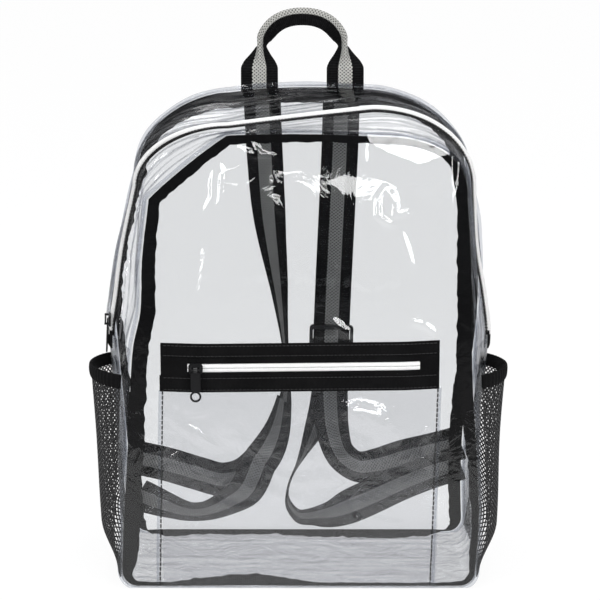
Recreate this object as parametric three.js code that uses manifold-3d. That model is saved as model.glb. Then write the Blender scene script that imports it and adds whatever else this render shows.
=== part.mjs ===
// A clear zip-top backpack of transparent sheet with black bindings, webbing straps and net side pockets.
// Millimetres, +Z up, front at -Y, origin at the middle of the underside of the bottom.
import * as THREE from "three";
import { mergeVertices } from "three/addons/utils/BufferGeometryUtils.js";
import Module from "manifold-3d";

const manifold = await Module();
manifold.setup();

// Body sizes
const bodyWidth = 305;
const frontHeight = 397;
const backHeight = 410;
const bodyDepth = 140;
const bottomRadius = 15;
const sheetWall = 1;
const clearance = 0.3;
const frontCrown = 5;
const crownReach = 50;
const crownFall = 4;

// Main zip sizes
const zipFromFront = 50;
const zipEndHeight = 212;
const zipCoilWidth = 4;
const zipCoilThickness = 2.4;
const zipCoilLift = 0.8;
const zipTapeShown = 4.4;
const zipTapeThickness = 1;
const zipEndLength = 14;
const zipEndThickness = 1.2;
const zipEndMargin = 1;
const zipEndBelowShare = 0.75;
const mainSliderRise = 13;

// Bindings inside the seams
const bindingWidth = 11;
const bindingThickness = 1.2;
const bindingInset = 1.2;
const crownMargin = 2;

// Front pocket sizes
const pocketWidth = 233;
const pocketTop = 220;
const pocketTilt = 0.011;
const pocketBindingTopHeight = 12.6;
const pocketZipHeight = 15;
const pocketBindingBottomHeight = 14.4;
const pocketBindingThickness = 1.6;
const pocketCoilHeight = 6.9;
const pocketCoilThickness = 2.3;
const pocketCoilDrop = 0.8;
const pocketEndLeft = 22.5;
const pocketEndRight = 16.5;
const pocketStandOff = 0.8;
const pocketBindingPast = 1;

// Sliders and their pulls
const sliderLength = 12;
const sliderWidth = 9.5;
const sliderPlate = 1.8;
const sliderCorner = 3;
const sliderPost = 1.4;
const sliderPostDepth = 2.2;
const sliderPostInset = 0.5;
const sliderJoint = 0.4;
const pocketSliderInset = 1;
const crownBarRadius = 0.8;
const crownLift = 3;
const pullThickness = 1.4;
const pullWidth = 8.2;
const pullCorner = 2.6;
const pullJoint = 0.5;
const pullEyeHole = 1.3;
const pullEyeRadius = 2.5;
const pullEyeLength = 3;
const pocketPullLength = 17;
const mainPullLength = 22;
const mainPullWidth = 7.2;
const mainPullWire = 1.2;
const mainPullSpread = 1.4;
const mainPullArmPast = 1.5;
const pullRingRadius = 4.75;
const pullRingHole = 3.2;
const pullRingOverlap = 0.8;

// Webbing sizes
const webbingWidth = 32;
const webbingThickness = 1.6;
const strapStandOff = 18;
const strapSeamEnd = 145.5;
const strapLayerGap = 0.8;
const framesPerRow = 2;

// Handle sizes
const handleCentre = 2;
const handleHalfSpan = 37;
const handleSewnDepth = 9;
const handleFlatRise = 19;
const handleNeckRise = 32;
const handleTopRise = 66;
const handleNeckFold = 16;
const handleFoldAngle = 8;
const handleSwingShare = 0.588;

// Strap adjuster sizes
const adjusterWidth = 39;
const adjusterBar = 4;
const adjusterSlot = 9;
const adjusterThickness = 3;
const adjusterCorner = 3.4;
const adjusterRim = 3;
const weaveInset = 1.2;
const weaveTail = 2;
const weaveApart = 3;

// Side pocket sizes
const netWall = 1;
const netBulge = 17;
const netFoot = 9;
const netStandOff = 0.5;
const netBellyPower = 0.5;
const netFootShare = 0.2;
const netTopShare = 0.94;
const netSeamShare = 0.02;
const hemHeight = 12;
const hemFrontDrop = 22;
const hemBackDrop = 42;
const hemThickness = 2;
const hemInnerShare = 0.8;

const halfWidth = bodyWidth / 2;
const halfDepth = bodyDepth / 2;
const shoulderStartShare = 0.86;
const shoulderInnerShare = 0.395;
const zipShare = zipFromFront / bodyDepth;
const seamMargin = sheetWall + bindingInset + bindingWidth + crownMargin;
const mainSliderHeight = zipEndHeight + mainSliderRise;
const hemFrontTop = zipEndHeight - hemFrontDrop;
const hemBackTop = zipEndHeight - hemBackDrop;

const SHEET_LOOK = { color: 0xe4e6ea, roughness: 0.08, metalness: 0 };
const PVC = { ...SHEET_LOOK, transparent: true, opacity: 0.28, side: THREE.DoubleSide };
const TAPE = { color: 0x141416, roughness: 0.85, metalness: 0 };
const COIL = { color: 0xf2f2f0, roughness: 0.45, metalness: 0 };
const HARD_BLACK = { color: 0x0c0c0d, roughness: 0.3, metalness: 0.1 };
const WEBBING = { color: 0x1a1a1b, roughness: 0.9, metalness: 0 };
const NET = { color: 0x161617, roughness: 0.9, metalness: 0 };

// Half widths of the three lines that shape the body, as shares of half the body width.
// Row heights are shares of the front height. The left front seam is pulled in above the pocket.
const SIDE_ROWS = {
  right: [
    { height: 0.04, front: 0.99, zip: 0.997, back: 0.964 },
    { height: 0.15, front: 1.007, zip: 1.01, back: 0.957 },
    { height: 0.3, front: 0.989, zip: 1.015, back: 0.975 },
    { height: 0.45, front: 0.963, zip: 1.035, back: 1.02 },
    { height: 0.54, front: 0.956, zip: 1.045, back: 1.04 },
    { height: 0.62, front: 0.951, zip: 1.02, back: 1.039 },
    { height: 0.73, front: 0.942, zip: 0.97, back: 1.022 },
    { height: 0.86, front: 0.918, zip: 0.948, back: 0.951 },
  ],
  left: [
    { height: 0.04, front: 1.007, zip: 1.003, back: 0.99 },
    { height: 0.15, front: 0.997, zip: 1.02, back: 1.01 },
    { height: 0.3, front: 0.97, zip: 1.03, back: 1.035 },
    { height: 0.45, front: 0.948, zip: 1.045, back: 1.065 },
    { height: 0.54, front: 0.928, zip: 1.05, back: 1.08 },
    { height: 0.62, front: 0.885, zip: 1.02, back: 1.066 },
    { height: 0.73, front: 0.872, zip: 0.977, back: 1.01 },
    { height: 0.86, front: 0.83, zip: 0.902, back: 0.925 },
  ],
};

// Shoulders: corner heights as shares of the line's own height, and how square each corner is
// (1 a straight slant, 2 an ellipse, more is squarer). The left front corner has collapsed to a slant.
const SHOULDERS = {
  front: { top: frontHeight, right: 0.995, left: 0.997, squareRight: 2.4, squareLeft: 1.08, crown: 0.004 },
  zip: { top: frontHeight, right: 1.025, left: 0.988, squareRight: 2.05, squareLeft: 2, crown: 0.001 },
  back: { top: backHeight, right: 0.995, left: 0.99, squareRight: 1.75, squareLeft: 1.8, crown: 0.0085 },
};

// Creases in the clear gusset, which run up the side: where across the depth, between which heights
// (shares of the front height), how deep as a share of the body width, how wide as a share of the depth.
const GUSSET_FOLDS = [
  { side: -1, across: 0.13, low: 0.5, high: 0.84, deep: 0.0118, spread: 0.07 },
  { side: -1, across: 0.62, low: 0.5, high: 0.9, deep: 0.0098, spread: 0.1 },
  { side: 1, across: 0.7, low: 0.52, high: 0.82, deep: 0.0085, spread: 0.1 },
];

// Shoulder straps, top to bottom: across as a share of half the body width, up as a share of the back
// height, behind as a share of the stand-off, turn of the webbing about its own run in degrees.
const STRAP_ROWS = {
  left: [
    { across: -0.215, up: 0.972, behind: 0, turn: 0 },
    { across: -0.2, up: 0.87, behind: 0.4, turn: 22 },
    { across: -0.175, up: 0.74, behind: 0.75, turn: 36 },
    { across: -0.16, up: 0.66, behind: 0.85, turn: 44 },
    { across: -0.13, up: 0.56, behind: 0.97, turn: 58 },
    { across: -0.11, up: 0.49, behind: 1.03, turn: 70 },
    { across: -0.09, up: 0.42, behind: 1.06, turn: 80 },
    { across: -0.075, up: 0.36, behind: 1.06, turn: 82 },
    { across: -0.085, up: 0.29, behind: 1.03, turn: 74 },
    { across: -0.14, up: 0.21, behind: 0.9, turn: 46 },
    { across: -0.23, up: 0.155, behind: 0.82, turn: 18 },
    { across: -0.33, up: 0.122, behind: 0.76, turn: 4 },
    { across: -0.46, up: 0.112, behind: 0.66, turn: 0 },
    { across: -0.6, up: 0.128, behind: 0.5, turn: 0 },
    { across: -0.78, up: 0.152, behind: 0.3, turn: 0 },
    { across: -0.955, up: 0.172, behind: 0, turn: 0 },
  ],
  right: [
    { across: 0.235, up: 0.972, behind: 0, turn: 0 },
    { across: 0.228, up: 0.86, behind: 0.4, turn: 0 },
    { across: 0.215, up: 0.74, behind: 0.6, turn: 0 },
    { across: 0.2, up: 0.61, behind: 0.7, turn: 0 },
    { across: 0.188, up: 0.5, behind: 0.72, turn: 0 },
    { across: 0.182, up: 0.43, behind: 0.72, turn: 0 },
    { across: 0.178, up: 0.36, behind: 0.72, turn: 0 },
    { across: 0.178, up: 0.29, behind: 0.75, turn: -8 },
    { across: 0.195, up: 0.22, behind: 0.85, turn: -26 },
    { across: 0.245, up: 0.165, behind: 0.95, turn: -44 },
    { across: 0.345, up: 0.135, behind: 1.1, turn: -50 },
    { across: 0.47, up: 0.14, behind: 1.1, turn: -34 },
    { across: 0.62, up: 0.162, behind: 0.8, turn: -12 },
    { across: 0.78, up: 0.184, behind: 0.4, turn: 0 },
    { across: 0.945, up: 0.205, behind: 0.12, turn: 0 },
  ],
};

// Lower straps, from below the adjuster down and round to the side seam. Each first lies along its shoulder
// strap between two rows of that table, on the side that layer names (1 behind, -1 in front), and then takes
// its own way in the same columns.
const LOWER_STRAPS = {
  left: {
    fromRow: 8,
    toRow: 10,
    layer: -1,
    rows: [
      { across: -0.32, up: 0.092, behind: 0.35, turn: -8 },
      { across: -0.44, up: 0.057, behind: 0.6, turn: -28 },
      { across: -0.55, up: 0.039, behind: 0.68, turn: -40 },
      { across: -0.66, up: 0.037, behind: 0.68, turn: -40 },
      { across: -0.8, up: 0.055, behind: 0.5, turn: -24 },
      { across: -0.955, up: 0.086, behind: 0, turn: 0 },
    ],
  },
  right: {
    fromRow: 5.5,
    toRow: 6.5,
    layer: 1,
    rows: [
      { across: 0.15, up: 0.27, behind: 1.15, turn: -20 },
      { across: 0.085, up: 0.21, behind: 1.35, turn: -52 },
      { across: 0.01, up: 0.15, behind: 1.4, turn: -76 },
      { across: -0.06, up: 0.095, behind: 1.4, turn: -84 },
      { across: -0.075, up: 0.05, behind: 1.35, turn: -88 },
      { across: -0.01, up: 0.018, behind: 1.25, turn: -88 },
      { across: 0.11, up: 0.022, behind: 1.1, turn: -78 },
      { across: 0.25, up: 0.044, behind: 0.6, turn: -40 },
      { across: 0.42, up: 0.078, behind: 0.22, turn: -6 },
      { across: 0.6, up: 0.112, behind: 0.1, turn: 0 },
      { across: 0.78, up: 0.14, behind: 0.05, turn: 0 },
      { across: 0.945, up: 0.16, behind: 0, turn: 0 },
    ],
  },
};

const clamp = THREE.MathUtils.clamp;
const lerp = THREE.MathUtils.lerp;
const radians = THREE.MathUtils.degToRad;
const smooth = (t) => THREE.MathUtils.smoothstep(t, 0, 1);

// Smooth curve through table rows: the value of one column at a height.
function readColumn(rows, column, height) {
  const last = rows.length - 1;
  const slopeAt = (i) => {
    const before = rows[Math.max(i - 1, 0)];
    const after = rows[Math.min(i + 1, last)];
    return (after[column] - before[column]) / (after.height - before.height);
  };
  const h = clamp(height, rows[0].height, rows[last].height);
  let i = 0;
  while (i < last - 1 && h > rows[i + 1].height) i += 1;
  const low = rows[i];
  const high = rows[i + 1];
  const span = high.height - low.height;
  const t = (h - low.height) / span;
  const t2 = t * t;
  const t3 = t2 * t;
  return (
    (2 * t3 - 3 * t2 + 1) * low[column] +
    (t3 - 2 * t2 + t) * span * slopeAt(i) +
    (3 * t2 - 2 * t3) * high[column] +
    (t3 - t2) * span * slopeAt(i + 1)
  );
}

function halfWidthAt(line, side, z) {
  const rows = side > 0 ? SIDE_ROWS.right : SIDE_ROWS.left;
  return halfWidth * readColumn(rows, line, z / frontHeight);
}

// Stations run round the body seen from the front. Each is a section of the outline and a place in it, so
// that one station on the front seam, the zip line and the back seam is one section through the body.
const STEPS = { bottom: 10, corner: 4, lowerSide: 9, upperSide: 7, shoulder: 8, top: 10 };

function sideStations(side, names) {
  const stations = [];
  for (const section of names) {
    for (let i = 0; i < STEPS[section]; i += 1) stations.push({ section, side, t: i / STEPS[section] });
  }
  const last = names[names.length - 1];
  stations.push({ section: last, side, t: 1 });
  return stations;
}

// Stations along the bottom, left to right, or along the top, right to left, without the last.
function acrossStations(section) {
  return Array.from({ length: STEPS[section] }, (_, i) => ({ section, side: 1, t: i / STEPS[section] }));
}

// A point of a line (front, zip or back) at a station, as x and z.
function linePoint(line, station) {
  const { section, side, t } = station;
  const shape = SHOULDERS[line];
  const startZ = shoulderStartShare * frontHeight;
  const innerX = shoulderInnerShare * halfWidth;
  if (section === "bottom") {
    const across = lerp(-1, 1, t);
    const cornerX = halfWidthAt(line, across, bottomRadius) - bottomRadius;
    return new THREE.Vector2(across * cornerX, 0);
  }
  if (section === "corner") {
    const angle = (t * Math.PI) / 2;
    const cornerX = halfWidthAt(line, side, bottomRadius) - bottomRadius;
    const x = cornerX + bottomRadius * Math.sin(angle);
    return new THREE.Vector2(side * x, bottomRadius * (1 - Math.cos(angle)));
  }
  if (section === "lowerSide" || section === "upperSide") {
    const low = section === "lowerSide" ? bottomRadius : zipEndHeight;
    const high = section === "lowerSide" ? zipEndHeight : startZ;
    const z = lerp(low, high, t);
    return new THREE.Vector2(side * halfWidthAt(line, side, z), z);
  }
  const rightTop = shape.top * shape.right;
  const leftTop = shape.top * shape.left;
  if (section === "top") {
    const across = lerp(1, -1, t);
    const level = lerp(rightTop, leftTop, (1 - across) / 2);
    const crown = shape.top * shape.crown * (1 - across * across);
    return new THREE.Vector2(across * innerX, level + crown);
  }
  const angle = (t * Math.PI) / 2;
  const square = side > 0 ? shape.squareRight : shape.squareLeft;
  const outerX = halfWidthAt(line, side, startZ);
  const topZ = side > 0 ? rightTop : leftTop;
  const x = innerX + (outerX - innerX) * Math.cos(angle) ** (2 / square);
  const z = startZ + (topZ - startZ) * Math.sin(angle) ** (2 / square);
  return new THREE.Vector2(side * x, z);
}

function foldDepth(side, across, z) {
  let depth = 0;
  for (const fold of GUSSET_FOLDS) {
    if (fold.side !== side) continue;
    const along = (z / frontHeight - fold.low) / (fold.high - fold.low);
    if (along <= 0 || along >= 1) continue;
    const off = (across - fold.across) / fold.spread;
    depth += fold.deep * bodyWidth * Math.sin(Math.PI * along) * Math.exp(-off * off);
  }
  return depth;
}

// The gusset's outer surface: a station, and across from 0 at the front seam to 1 at the back seam.
// The section across the depth is the parabola through the front, zip and back lines.
function gussetPoint(station, across) {
  const front = linePoint("front", station);
  const zip = linePoint("zip", station);
  const back = linePoint("back", station);
  const shareFront = ((across - zipShare) * (across - 1)) / zipShare;
  const shareZip = (across * (across - 1)) / (zipShare * (zipShare - 1));
  const shareBack = (across * (across - zipShare)) / (1 - zipShare);
  const x = front.x * shareFront + zip.x * shareZip + back.x * shareBack;
  const z = front.y * shareFront + zip.y * shareZip + back.y * shareBack;
  const fold = foldDepth(station.side, across, z);
  return new THREE.Vector3(x - station.side * fold, lerp(-halfDepth, halfDepth, across), z);
}

// The gusset surface at a height on one side, for what is sewn on there.
function sidePoint(side, z, across) {
  if (z < bottomRadius) {
    const t = (2 / Math.PI) * Math.acos(1 - clamp(z / bottomRadius, 0, 1));
    return gussetPoint({ section: "corner", side, t }, across);
  }
  const lower = z <= zipEndHeight;
  const high = lower ? zipEndHeight : shoulderStartShare * frontHeight;
  const low = lower ? bottomRadius : zipEndHeight;
  const section = lower ? "lowerSide" : "upperSide";
  return gussetPoint({ section, side, t: (z - low) / (high - low) }, across);
}

// Unit normals of a grid of points, taken from its neighbours, turned to the side that outward names.
function gridNormals(grid, outward) {
  const rows = grid.length;
  const cols = grid[0].length;
  return grid.map((row, i) =>
    row.map((point, j) => {
      const along = grid[Math.min(i + 1, rows - 1)][j].clone().sub(grid[Math.max(i - 1, 0)][j]);
      const over = grid[i][Math.min(j + 1, cols - 1)].clone().sub(grid[i][Math.max(j - 1, 0)]);
      const normal = along.cross(over).normalize();
      return normal.dot(outward(point)) < 0 ? normal.negate() : normal;
    }),
  );
}

function shiftGrid(grid, normals, distance) {
  return grid.map((row, i) => row.map((point, j) => point.clone().addScaledVector(normals[i][j], distance)));
}

// A closed body from quads and triangles of shared points, turned so that its faces point out.
function closedGeometry(points, faces) {
  const triangles = faces.flatMap((f) => (f.length === 4 ? [[f[0], f[1], f[2]], [f[0], f[2], f[3]]] : [f]));
  let volume = 0;
  for (const [a, b, c] of triangles) volume += points[a].dot(points[b].clone().cross(points[c]));
  const index = triangles.flatMap(([a, b, c]) => (volume < 0 ? [a, c, b] : [a, b, c]));
  const geometry = new THREE.BufferGeometry();
  geometry.setFromPoints(points);
  geometry.setIndex(index);
  geometry.computeVertexNormals();
  return geometry;
}

// A sheet between two grids of points, closed round its rim.
function sheetBetween(outer, inner) {
  const rows = outer.length;
  const cols = outer[0].length;
  const points = [...outer.flat(), ...inner.flat()];
  const half = rows * cols;
  const at = (i, j) => i * cols + j;
  const faces = [];
  for (let i = 0; i < rows - 1; i += 1) {
    for (let j = 0; j < cols - 1; j += 1) {
      faces.push([at(i, j), at(i + 1, j), at(i + 1, j + 1), at(i, j + 1)]);
      faces.push([half + at(i, j), half + at(i, j + 1), half + at(i + 1, j + 1), half + at(i + 1, j)]);
    }
  }
  for (let i = 0; i < rows - 1; i += 1) {
    faces.push([at(i, 0), half + at(i, 0), half + at(i + 1, 0), at(i + 1, 0)]);
    faces.push([at(i, cols - 1), at(i + 1, cols - 1), half + at(i + 1, cols - 1), half + at(i, cols - 1)]);
  }
  for (let j = 0; j < cols - 1; j += 1) {
    faces.push([at(0, j), at(0, j + 1), half + at(0, j + 1), half + at(0, j)]);
    faces.push([at(rows - 1, j), half + at(rows - 1, j), half + at(rows - 1, j + 1), at(rows - 1, j + 1)]);
  }
  return closedGeometry(points, faces);
}

// A bar through a list of sections with the same number of points: open with end caps, or a closed ring.
// The second half of each section takes the other diagonal, so that a twisted bar keeps its thickness.
function sweepSections(sections, ring = false) {
  const size = sections[0].length;
  const count = sections.length;
  const points = sections.flat();
  const at = (i, j) => (i % count) * size + (j % size);
  const faces = [];
  const steps = ring ? count : count - 1;
  for (let i = 0; i < steps; i += 1) {
    for (let j = 0; j < size; j += 1) {
      const quad = [at(i, j), at(i + 1, j), at(i + 1, j + 1), at(i, j + 1)];
      faces.push(j < size / 2 ? quad : [...quad.slice(1), quad[0]]);
    }
  }
  if (!ring) {
    for (const [section, flip] of [[0, true], [count - 1, false]]) {
      const flat = THREE.ShapeUtils.triangulateShape(flatten(sections[section]), []);
      for (const [a, b, c] of flat) {
        const face = [at(section, a), at(section, b), at(section, c)];
        faces.push(flip ? face.reverse() : face);
      }
    }
  }
  return orientCaps(points, faces, steps * size);
}

// The points of a plane section as 2D points in that plane.
function flatten(section) {
  const origin = section[0];
  const u = section[1].clone().sub(origin).normalize();
  const normal = new THREE.Vector3();
  for (let i = 1; i < section.length; i += 1) {
    const a = section[i].clone().sub(origin);
    const b = section[(i + 1) % section.length].clone().sub(origin);
    normal.add(a.cross(b));
  }
  const v = normal.normalize().clone().cross(u);
  return section.map((p) => {
    const d = p.clone().sub(origin);
    return new THREE.Vector2(d.dot(u), d.dot(v));
  });
}

// End caps get the winding that closes the side faces: each shared edge runs both ways.
function orientCaps(points, faces, sideCount) {
  const used = new Set();
  for (const face of faces.slice(0, sideCount)) {
    face.forEach((a, k) => used.add(a + ">" + face[(k + 1) % face.length]));
  }
  const fixed = faces.map((face, n) => {
    if (n < sideCount) return face;
    const clash = face.some((a, k) => used.has(a + ">" + face[(k + 1) % face.length]));
    const meets = face.some((a, k) => used.has(face[(k + 1) % face.length] + ">" + a));
    if (clash) return face.slice().reverse();
    return meets ? face : null;
  });
  const loose = fixed.some((face) => face === null);
  if (!loose) return closedGeometry(points, fixed);
  const known = faces.findIndex((face, n) => n >= sideCount && fixed[n] !== null);
  const flipped = known >= 0 && fixed[known][0] !== faces[known][0];
  const fallback = (n) => (flipped ? faces[n].slice().reverse() : faces[n]);
  return closedGeometry(points, fixed.map((face, n) => face ?? fallback(n)));
}

const mesh = (name, geometry, look) => {
  const piece = new THREE.Mesh(geometry, new THREE.MeshStandardMaterial(look));
  piece.name = name;
  return piece;
};

// The whole front or back outline as a ring of stations.
function outlineStations() {
  const sections = ["corner", "lowerSide", "upperSide", "shoulder"];
  const right = sideStations(1, sections).slice(0, -1);
  const left = sideStations(-1, sections).slice(1).reverse();
  return [...acrossStations("bottom"), ...right, ...acrossStations("top"), ...left];
}

const OUTLINE = outlineStations();
const FRONT_LOOP = OUTLINE.map((station) => linePoint("front", station));
const BACK_LOOP = OUTLINE.map((station) => linePoint("back", station));

function distanceToLoop(loop, x, z) {
  let best = Infinity;
  loop.forEach((a, i) => {
    const b = loop[(i + 1) % loop.length];
    const run = b.clone().sub(a);
    const t = clamp(((x - a.x) * run.x + (z - a.y) * run.y) / run.lengthSq(), 0, 1);
    best = Math.min(best, Math.hypot(x - a.x - run.x * t, z - a.y - run.y * t));
  });
  return best;
}

// The front panel's outer face: flat along the sewn margin and in the middle, with the crown's rise between.
function frontFace(x, z) {
  const fromMargin = distanceToLoop(FRONT_LOOP, x, z) - seamMargin;
  return -halfDepth - frontCrown * smooth(clamp(fromMargin / crownReach, 0, 1));
}

function frontPanel() {
  const sections = ["corner", "lowerSide", "upperSide", "shoulder"];
  const right = sideStations(1, sections).map((station) => linePoint("front", station));
  const left = sideStations(-1, sections).map((station) => linePoint("front", station));
  const across = STEPS.bottom;
  const rows = right.map((end, i) => {
    const share = i / (right.length - 1);
    return Array.from({ length: across + 1 }, (_, j) => {
      const t = j / across;
      const flat = left[i].clone().lerp(end, t);
      const crown = linePoint("front", { section: "top", side: 1, t: 1 - t });
      const level = left[right.length - 1].clone().lerp(right[right.length - 1], t);
      flat.y += share ** crownFall * (crown.y - level.y);
      return new THREE.Vector3(flat.x, 0, flat.y);
    });
  });
  const outer = rows.map((row) => row.map((p) => new THREE.Vector3(p.x, frontFace(p.x, p.z), p.z)));
  const inner = outer.map((row) => row.map((p) => new THREE.Vector3(p.x, p.y + sheetWall, p.z)));
  return mesh("front_panel", sheetBetween(outer, inner), PVC);
}

function backPanel() {
  const shape = new THREE.Shape(BACK_LOOP);
  const geometry = new THREE.ExtrudeGeometry(shape, { depth: sheetWall, bevelEnabled: false });
  geometry.rotateX(Math.PI / 2);
  geometry.translate(0, halfDepth, 0);
  return mesh("back_panel", geometry, PVC);
}

// Binding: a flat tape inside a seam, which lies on the inner face of its panel.
function binding(name, loop, innerFace, inward) {
  const count = loop.length;
  const sections = loop.map((point, i) => {
    const run = loop[(i + 1) % count].clone().sub(loop[(i + count - 1) % count]);
    const normal = new THREE.Vector2(-run.y, run.x).normalize();
    const near = sheetWall + bindingInset;
    const edges = [near, near + bindingWidth].map((d) => point.clone().addScaledVector(normal, d));
    const faces = edges.map((p) => innerFace(p.x, p.y) + inward * clearance);
    return [
      new THREE.Vector3(edges[0].x, faces[0], edges[0].y),
      new THREE.Vector3(edges[1].x, faces[1], edges[1].y),
      new THREE.Vector3(edges[1].x, faces[1] + inward * bindingThickness, edges[1].y),
      new THREE.Vector3(edges[0].x, faces[0] + inward * bindingThickness, edges[0].y),
    ];
  });
  return mesh(name, sweepSections(sections, true), TAPE);
}

const centreOutward = (p) => new THREE.Vector3(p.x, 0, p.z - frontHeight / 2);

// A band of the gusset over some stations, between two places across the depth, in millimetres from the
// front face, from the outer surface plus lift down through thickness.
function gussetBand(stations, from, to, steps, lift, thickness) {
  const grid = stations.map((station) =>
    Array.from({ length: steps + 1 }, (_, j) => gussetPoint(station, lerp(from, to, j / steps) / bodyDepth)),
  );
  const normals = gridNormals(grid, centreOutward);
  return sheetBetween(shiftGrid(grid, normals, lift), shiftGrid(grid, normals, lift - thickness));
}

const trimEnds = (stations, section, share) =>
  stations.map((station) => {
    const end = station.section === section && station.t === share.at;
    return end ? { ...station, t: share.to } : station;
  });

function zipStations() {
  const right = sideStations(1, ["upperSide", "shoulder"]).slice(0, -1);
  const left = sideStations(-1, ["upperSide", "shoulder"]).reverse();
  const upperRun = shoulderStartShare * frontHeight - zipEndHeight;
  const to = clearance / 2 / upperRun;
  return trimEnds([...right, ...acrossStations("top"), ...left], "upperSide", { at: 0, to });
}

function baseStations() {
  const left = sideStations(-1, ["corner", "lowerSide"]).slice(1).reverse();
  const right = sideStations(1, ["corner", "lowerSide"]);
  const to = 1 - clearance / 2 / (zipEndHeight - bottomRadius);
  return trimEnds([...left, ...acrossStations("bottom"), ...right], "lowerSide", { at: 1, to });
}

function gussets() {
  const seamFront = sheetWall + clearance;
  const seamBack = bodyDepth - sheetWall - clearance;
  const coilFront = zipFromFront - zipCoilWidth / 2;
  const coilBack = zipFromFront + zipCoilWidth / 2;
  const tapeFront = coilFront - clearance - zipTapeShown;
  const tapeBack = coilBack + clearance + zipTapeShown;
  const run = zipStations();
  const gap = clearance;
  const tape = zipTapeThickness;
  return [
    mesh("base_gusset", gussetBand(baseStations(), seamFront, seamBack, 6, 0, sheetWall), PVC),
    mesh("zip_gusset_front", gussetBand(run, seamFront, tapeFront - gap, 4, 0, sheetWall), PVC),
    mesh("zip_gusset_back", gussetBand(run, tapeBack + gap, seamBack, 6, 0, sheetWall), PVC),
    mesh("main_zip_tape_front", gussetBand(run, tapeFront, coilFront - gap, 1, 0, tape), TAPE),
    mesh("main_zip_coil", gussetBand(run, coilFront, coilBack, 1, zipCoilLift, zipCoilThickness), COIL),
    mesh("main_zip_tape_back", gussetBand(run, coilBack + gap, tapeBack, 1, 0, tape), TAPE),
  ];
}

// Tape ends: a patch over each lower end of the main zip.
function zipEnd(name, side) {
  const width = zipCoilWidth + 2 * (zipTapeShown + clearance + zipEndMargin);
  const lift = zipCoilLift + clearance;
  const rows = 3;
  const cols = 3;
  const grid = Array.from({ length: rows + 1 }, (_, i) => {
    const z = zipEndHeight - zipEndLength * (zipEndBelowShare - i / rows);
    return Array.from({ length: cols + 1 }, (__, j) => {
      const fromFront = zipFromFront + width * (j / cols - 0.5);
      return sidePoint(side, z, fromFront / bodyDepth);
    });
  });
  const normals = gridNormals(grid, centreOutward);
  const outer = shiftGrid(grid, normals, lift + zipEndThickness);
  return mesh(name, sheetBetween(outer, shiftGrid(grid, normals, lift)), TAPE);
}

// A rectangle of tape or sheet laid on the front face, between two x and two heights.
function frontPatch(name, x0, x1, z0, z1, cols, rows, thickness, look) {
  const tilt = (x) => pocketTilt * x;
  const grid = (depth) =>
    Array.from({ length: rows + 1 }, (_, i) =>
      Array.from({ length: cols + 1 }, (__, j) => {
        const x = lerp(x0, x1, j / cols);
        const z = z0 < bottomRadius && i === 0 ? z0 : lerp(z0, z1, i / rows) + tilt(x);
        return new THREE.Vector3(x, frontFace(x, z) - pocketStandOff - depth, z);
      }),
    );
  return mesh(name, sheetBetween(grid(thickness), grid(0)), look);
}

const pocketLevels = (() => {
  const bindingFoot = pocketTop - pocketBindingTopHeight;
  const zipFoot = bindingFoot - pocketZipHeight;
  const foot = zipFoot - pocketBindingBottomHeight;
  const coilMiddle = (bindingFoot + zipFoot) / 2 - pocketCoilDrop;
  return {
    bindingFoot,
    zipFoot,
    foot,
    coilTop: coilMiddle + pocketCoilHeight / 2,
    coilFoot: coilMiddle - pocketCoilHeight / 2,
    coilMiddle,
  };
})();

function pocket() {
  const left = -pocketWidth / 2;
  const right = pocketWidth / 2;
  const zipLeft = left + pocketEndLeft;
  const zipRight = right - pocketEndRight;
  const { bindingFoot, zipFoot, foot, coilTop, coilFoot } = pocketLevels;
  const gap = clearance;
  const band = pocketBindingThickness;
  const tape = zipTapeThickness;
  const past = left - pocketBindingPast;
  return [
    frontPatch("pocket_panel", left, right, sheetWall, foot - gap, 10, 12, sheetWall, PVC),
    frontPatch("pocket_binding_bottom", past, right, foot, zipFoot - gap, 8, 1, band, TAPE),
    frontPatch("pocket_zip_tape_bottom", zipLeft, zipRight, zipFoot, coilFoot - gap, 8, 1, tape, TAPE),
    frontPatch("pocket_zip_coil", zipLeft, zipRight, coilFoot, coilTop, 8, 1, pocketCoilThickness, COIL),
    frontPatch("pocket_zip_tape_top", zipLeft, zipRight, coilTop + gap, bindingFoot - gap, 8, 1, tape, TAPE),
    frontPatch("pocket_zip_end_left", left, zipLeft - gap, zipFoot, bindingFoot - gap, 1, 1, band, TAPE),
    frontPatch("pocket_zip_end_right", zipRight + gap, right, zipFoot, bindingFoot - gap, 1, 1, band, TAPE),
    frontPatch("pocket_binding_top", left, right, bindingFoot, pocketTop, 8, 1, band, TAPE),
  ];
}

// Solids for the small hard pieces are joined with manifold-3d.
function toSolid(geometry) {
  const bare = geometry.clone();
  bare.deleteAttribute("normal");
  bare.deleteAttribute("uv");
  const merged = mergeVertices(bare, 1e-4);
  return new manifold.Manifold(
    new manifold.Mesh({
      numProp: 3,
      vertProperties: new Float32Array(merged.attributes.position.array),
      triVerts: new Uint32Array(merged.index.array),
    }),
  );
}

function toGeometry(solid) {
  const made = solid.getMesh();
  const geometry = new THREE.BufferGeometry();
  geometry.setAttribute("position", new THREE.BufferAttribute(made.vertProperties.slice(), 3));
  geometry.setIndex(new THREE.BufferAttribute(made.triVerts.slice(), 1));
  geometry.computeVertexNormals();
  return geometry;
}

const joined = (geometries) => toGeometry(geometries.map(toSolid).reduce((all, next) => all.add(next)));

function box(width, depth, height, x, y, z) {
  return new THREE.BoxGeometry(width, depth, height).translate(x, y, z);
}

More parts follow.
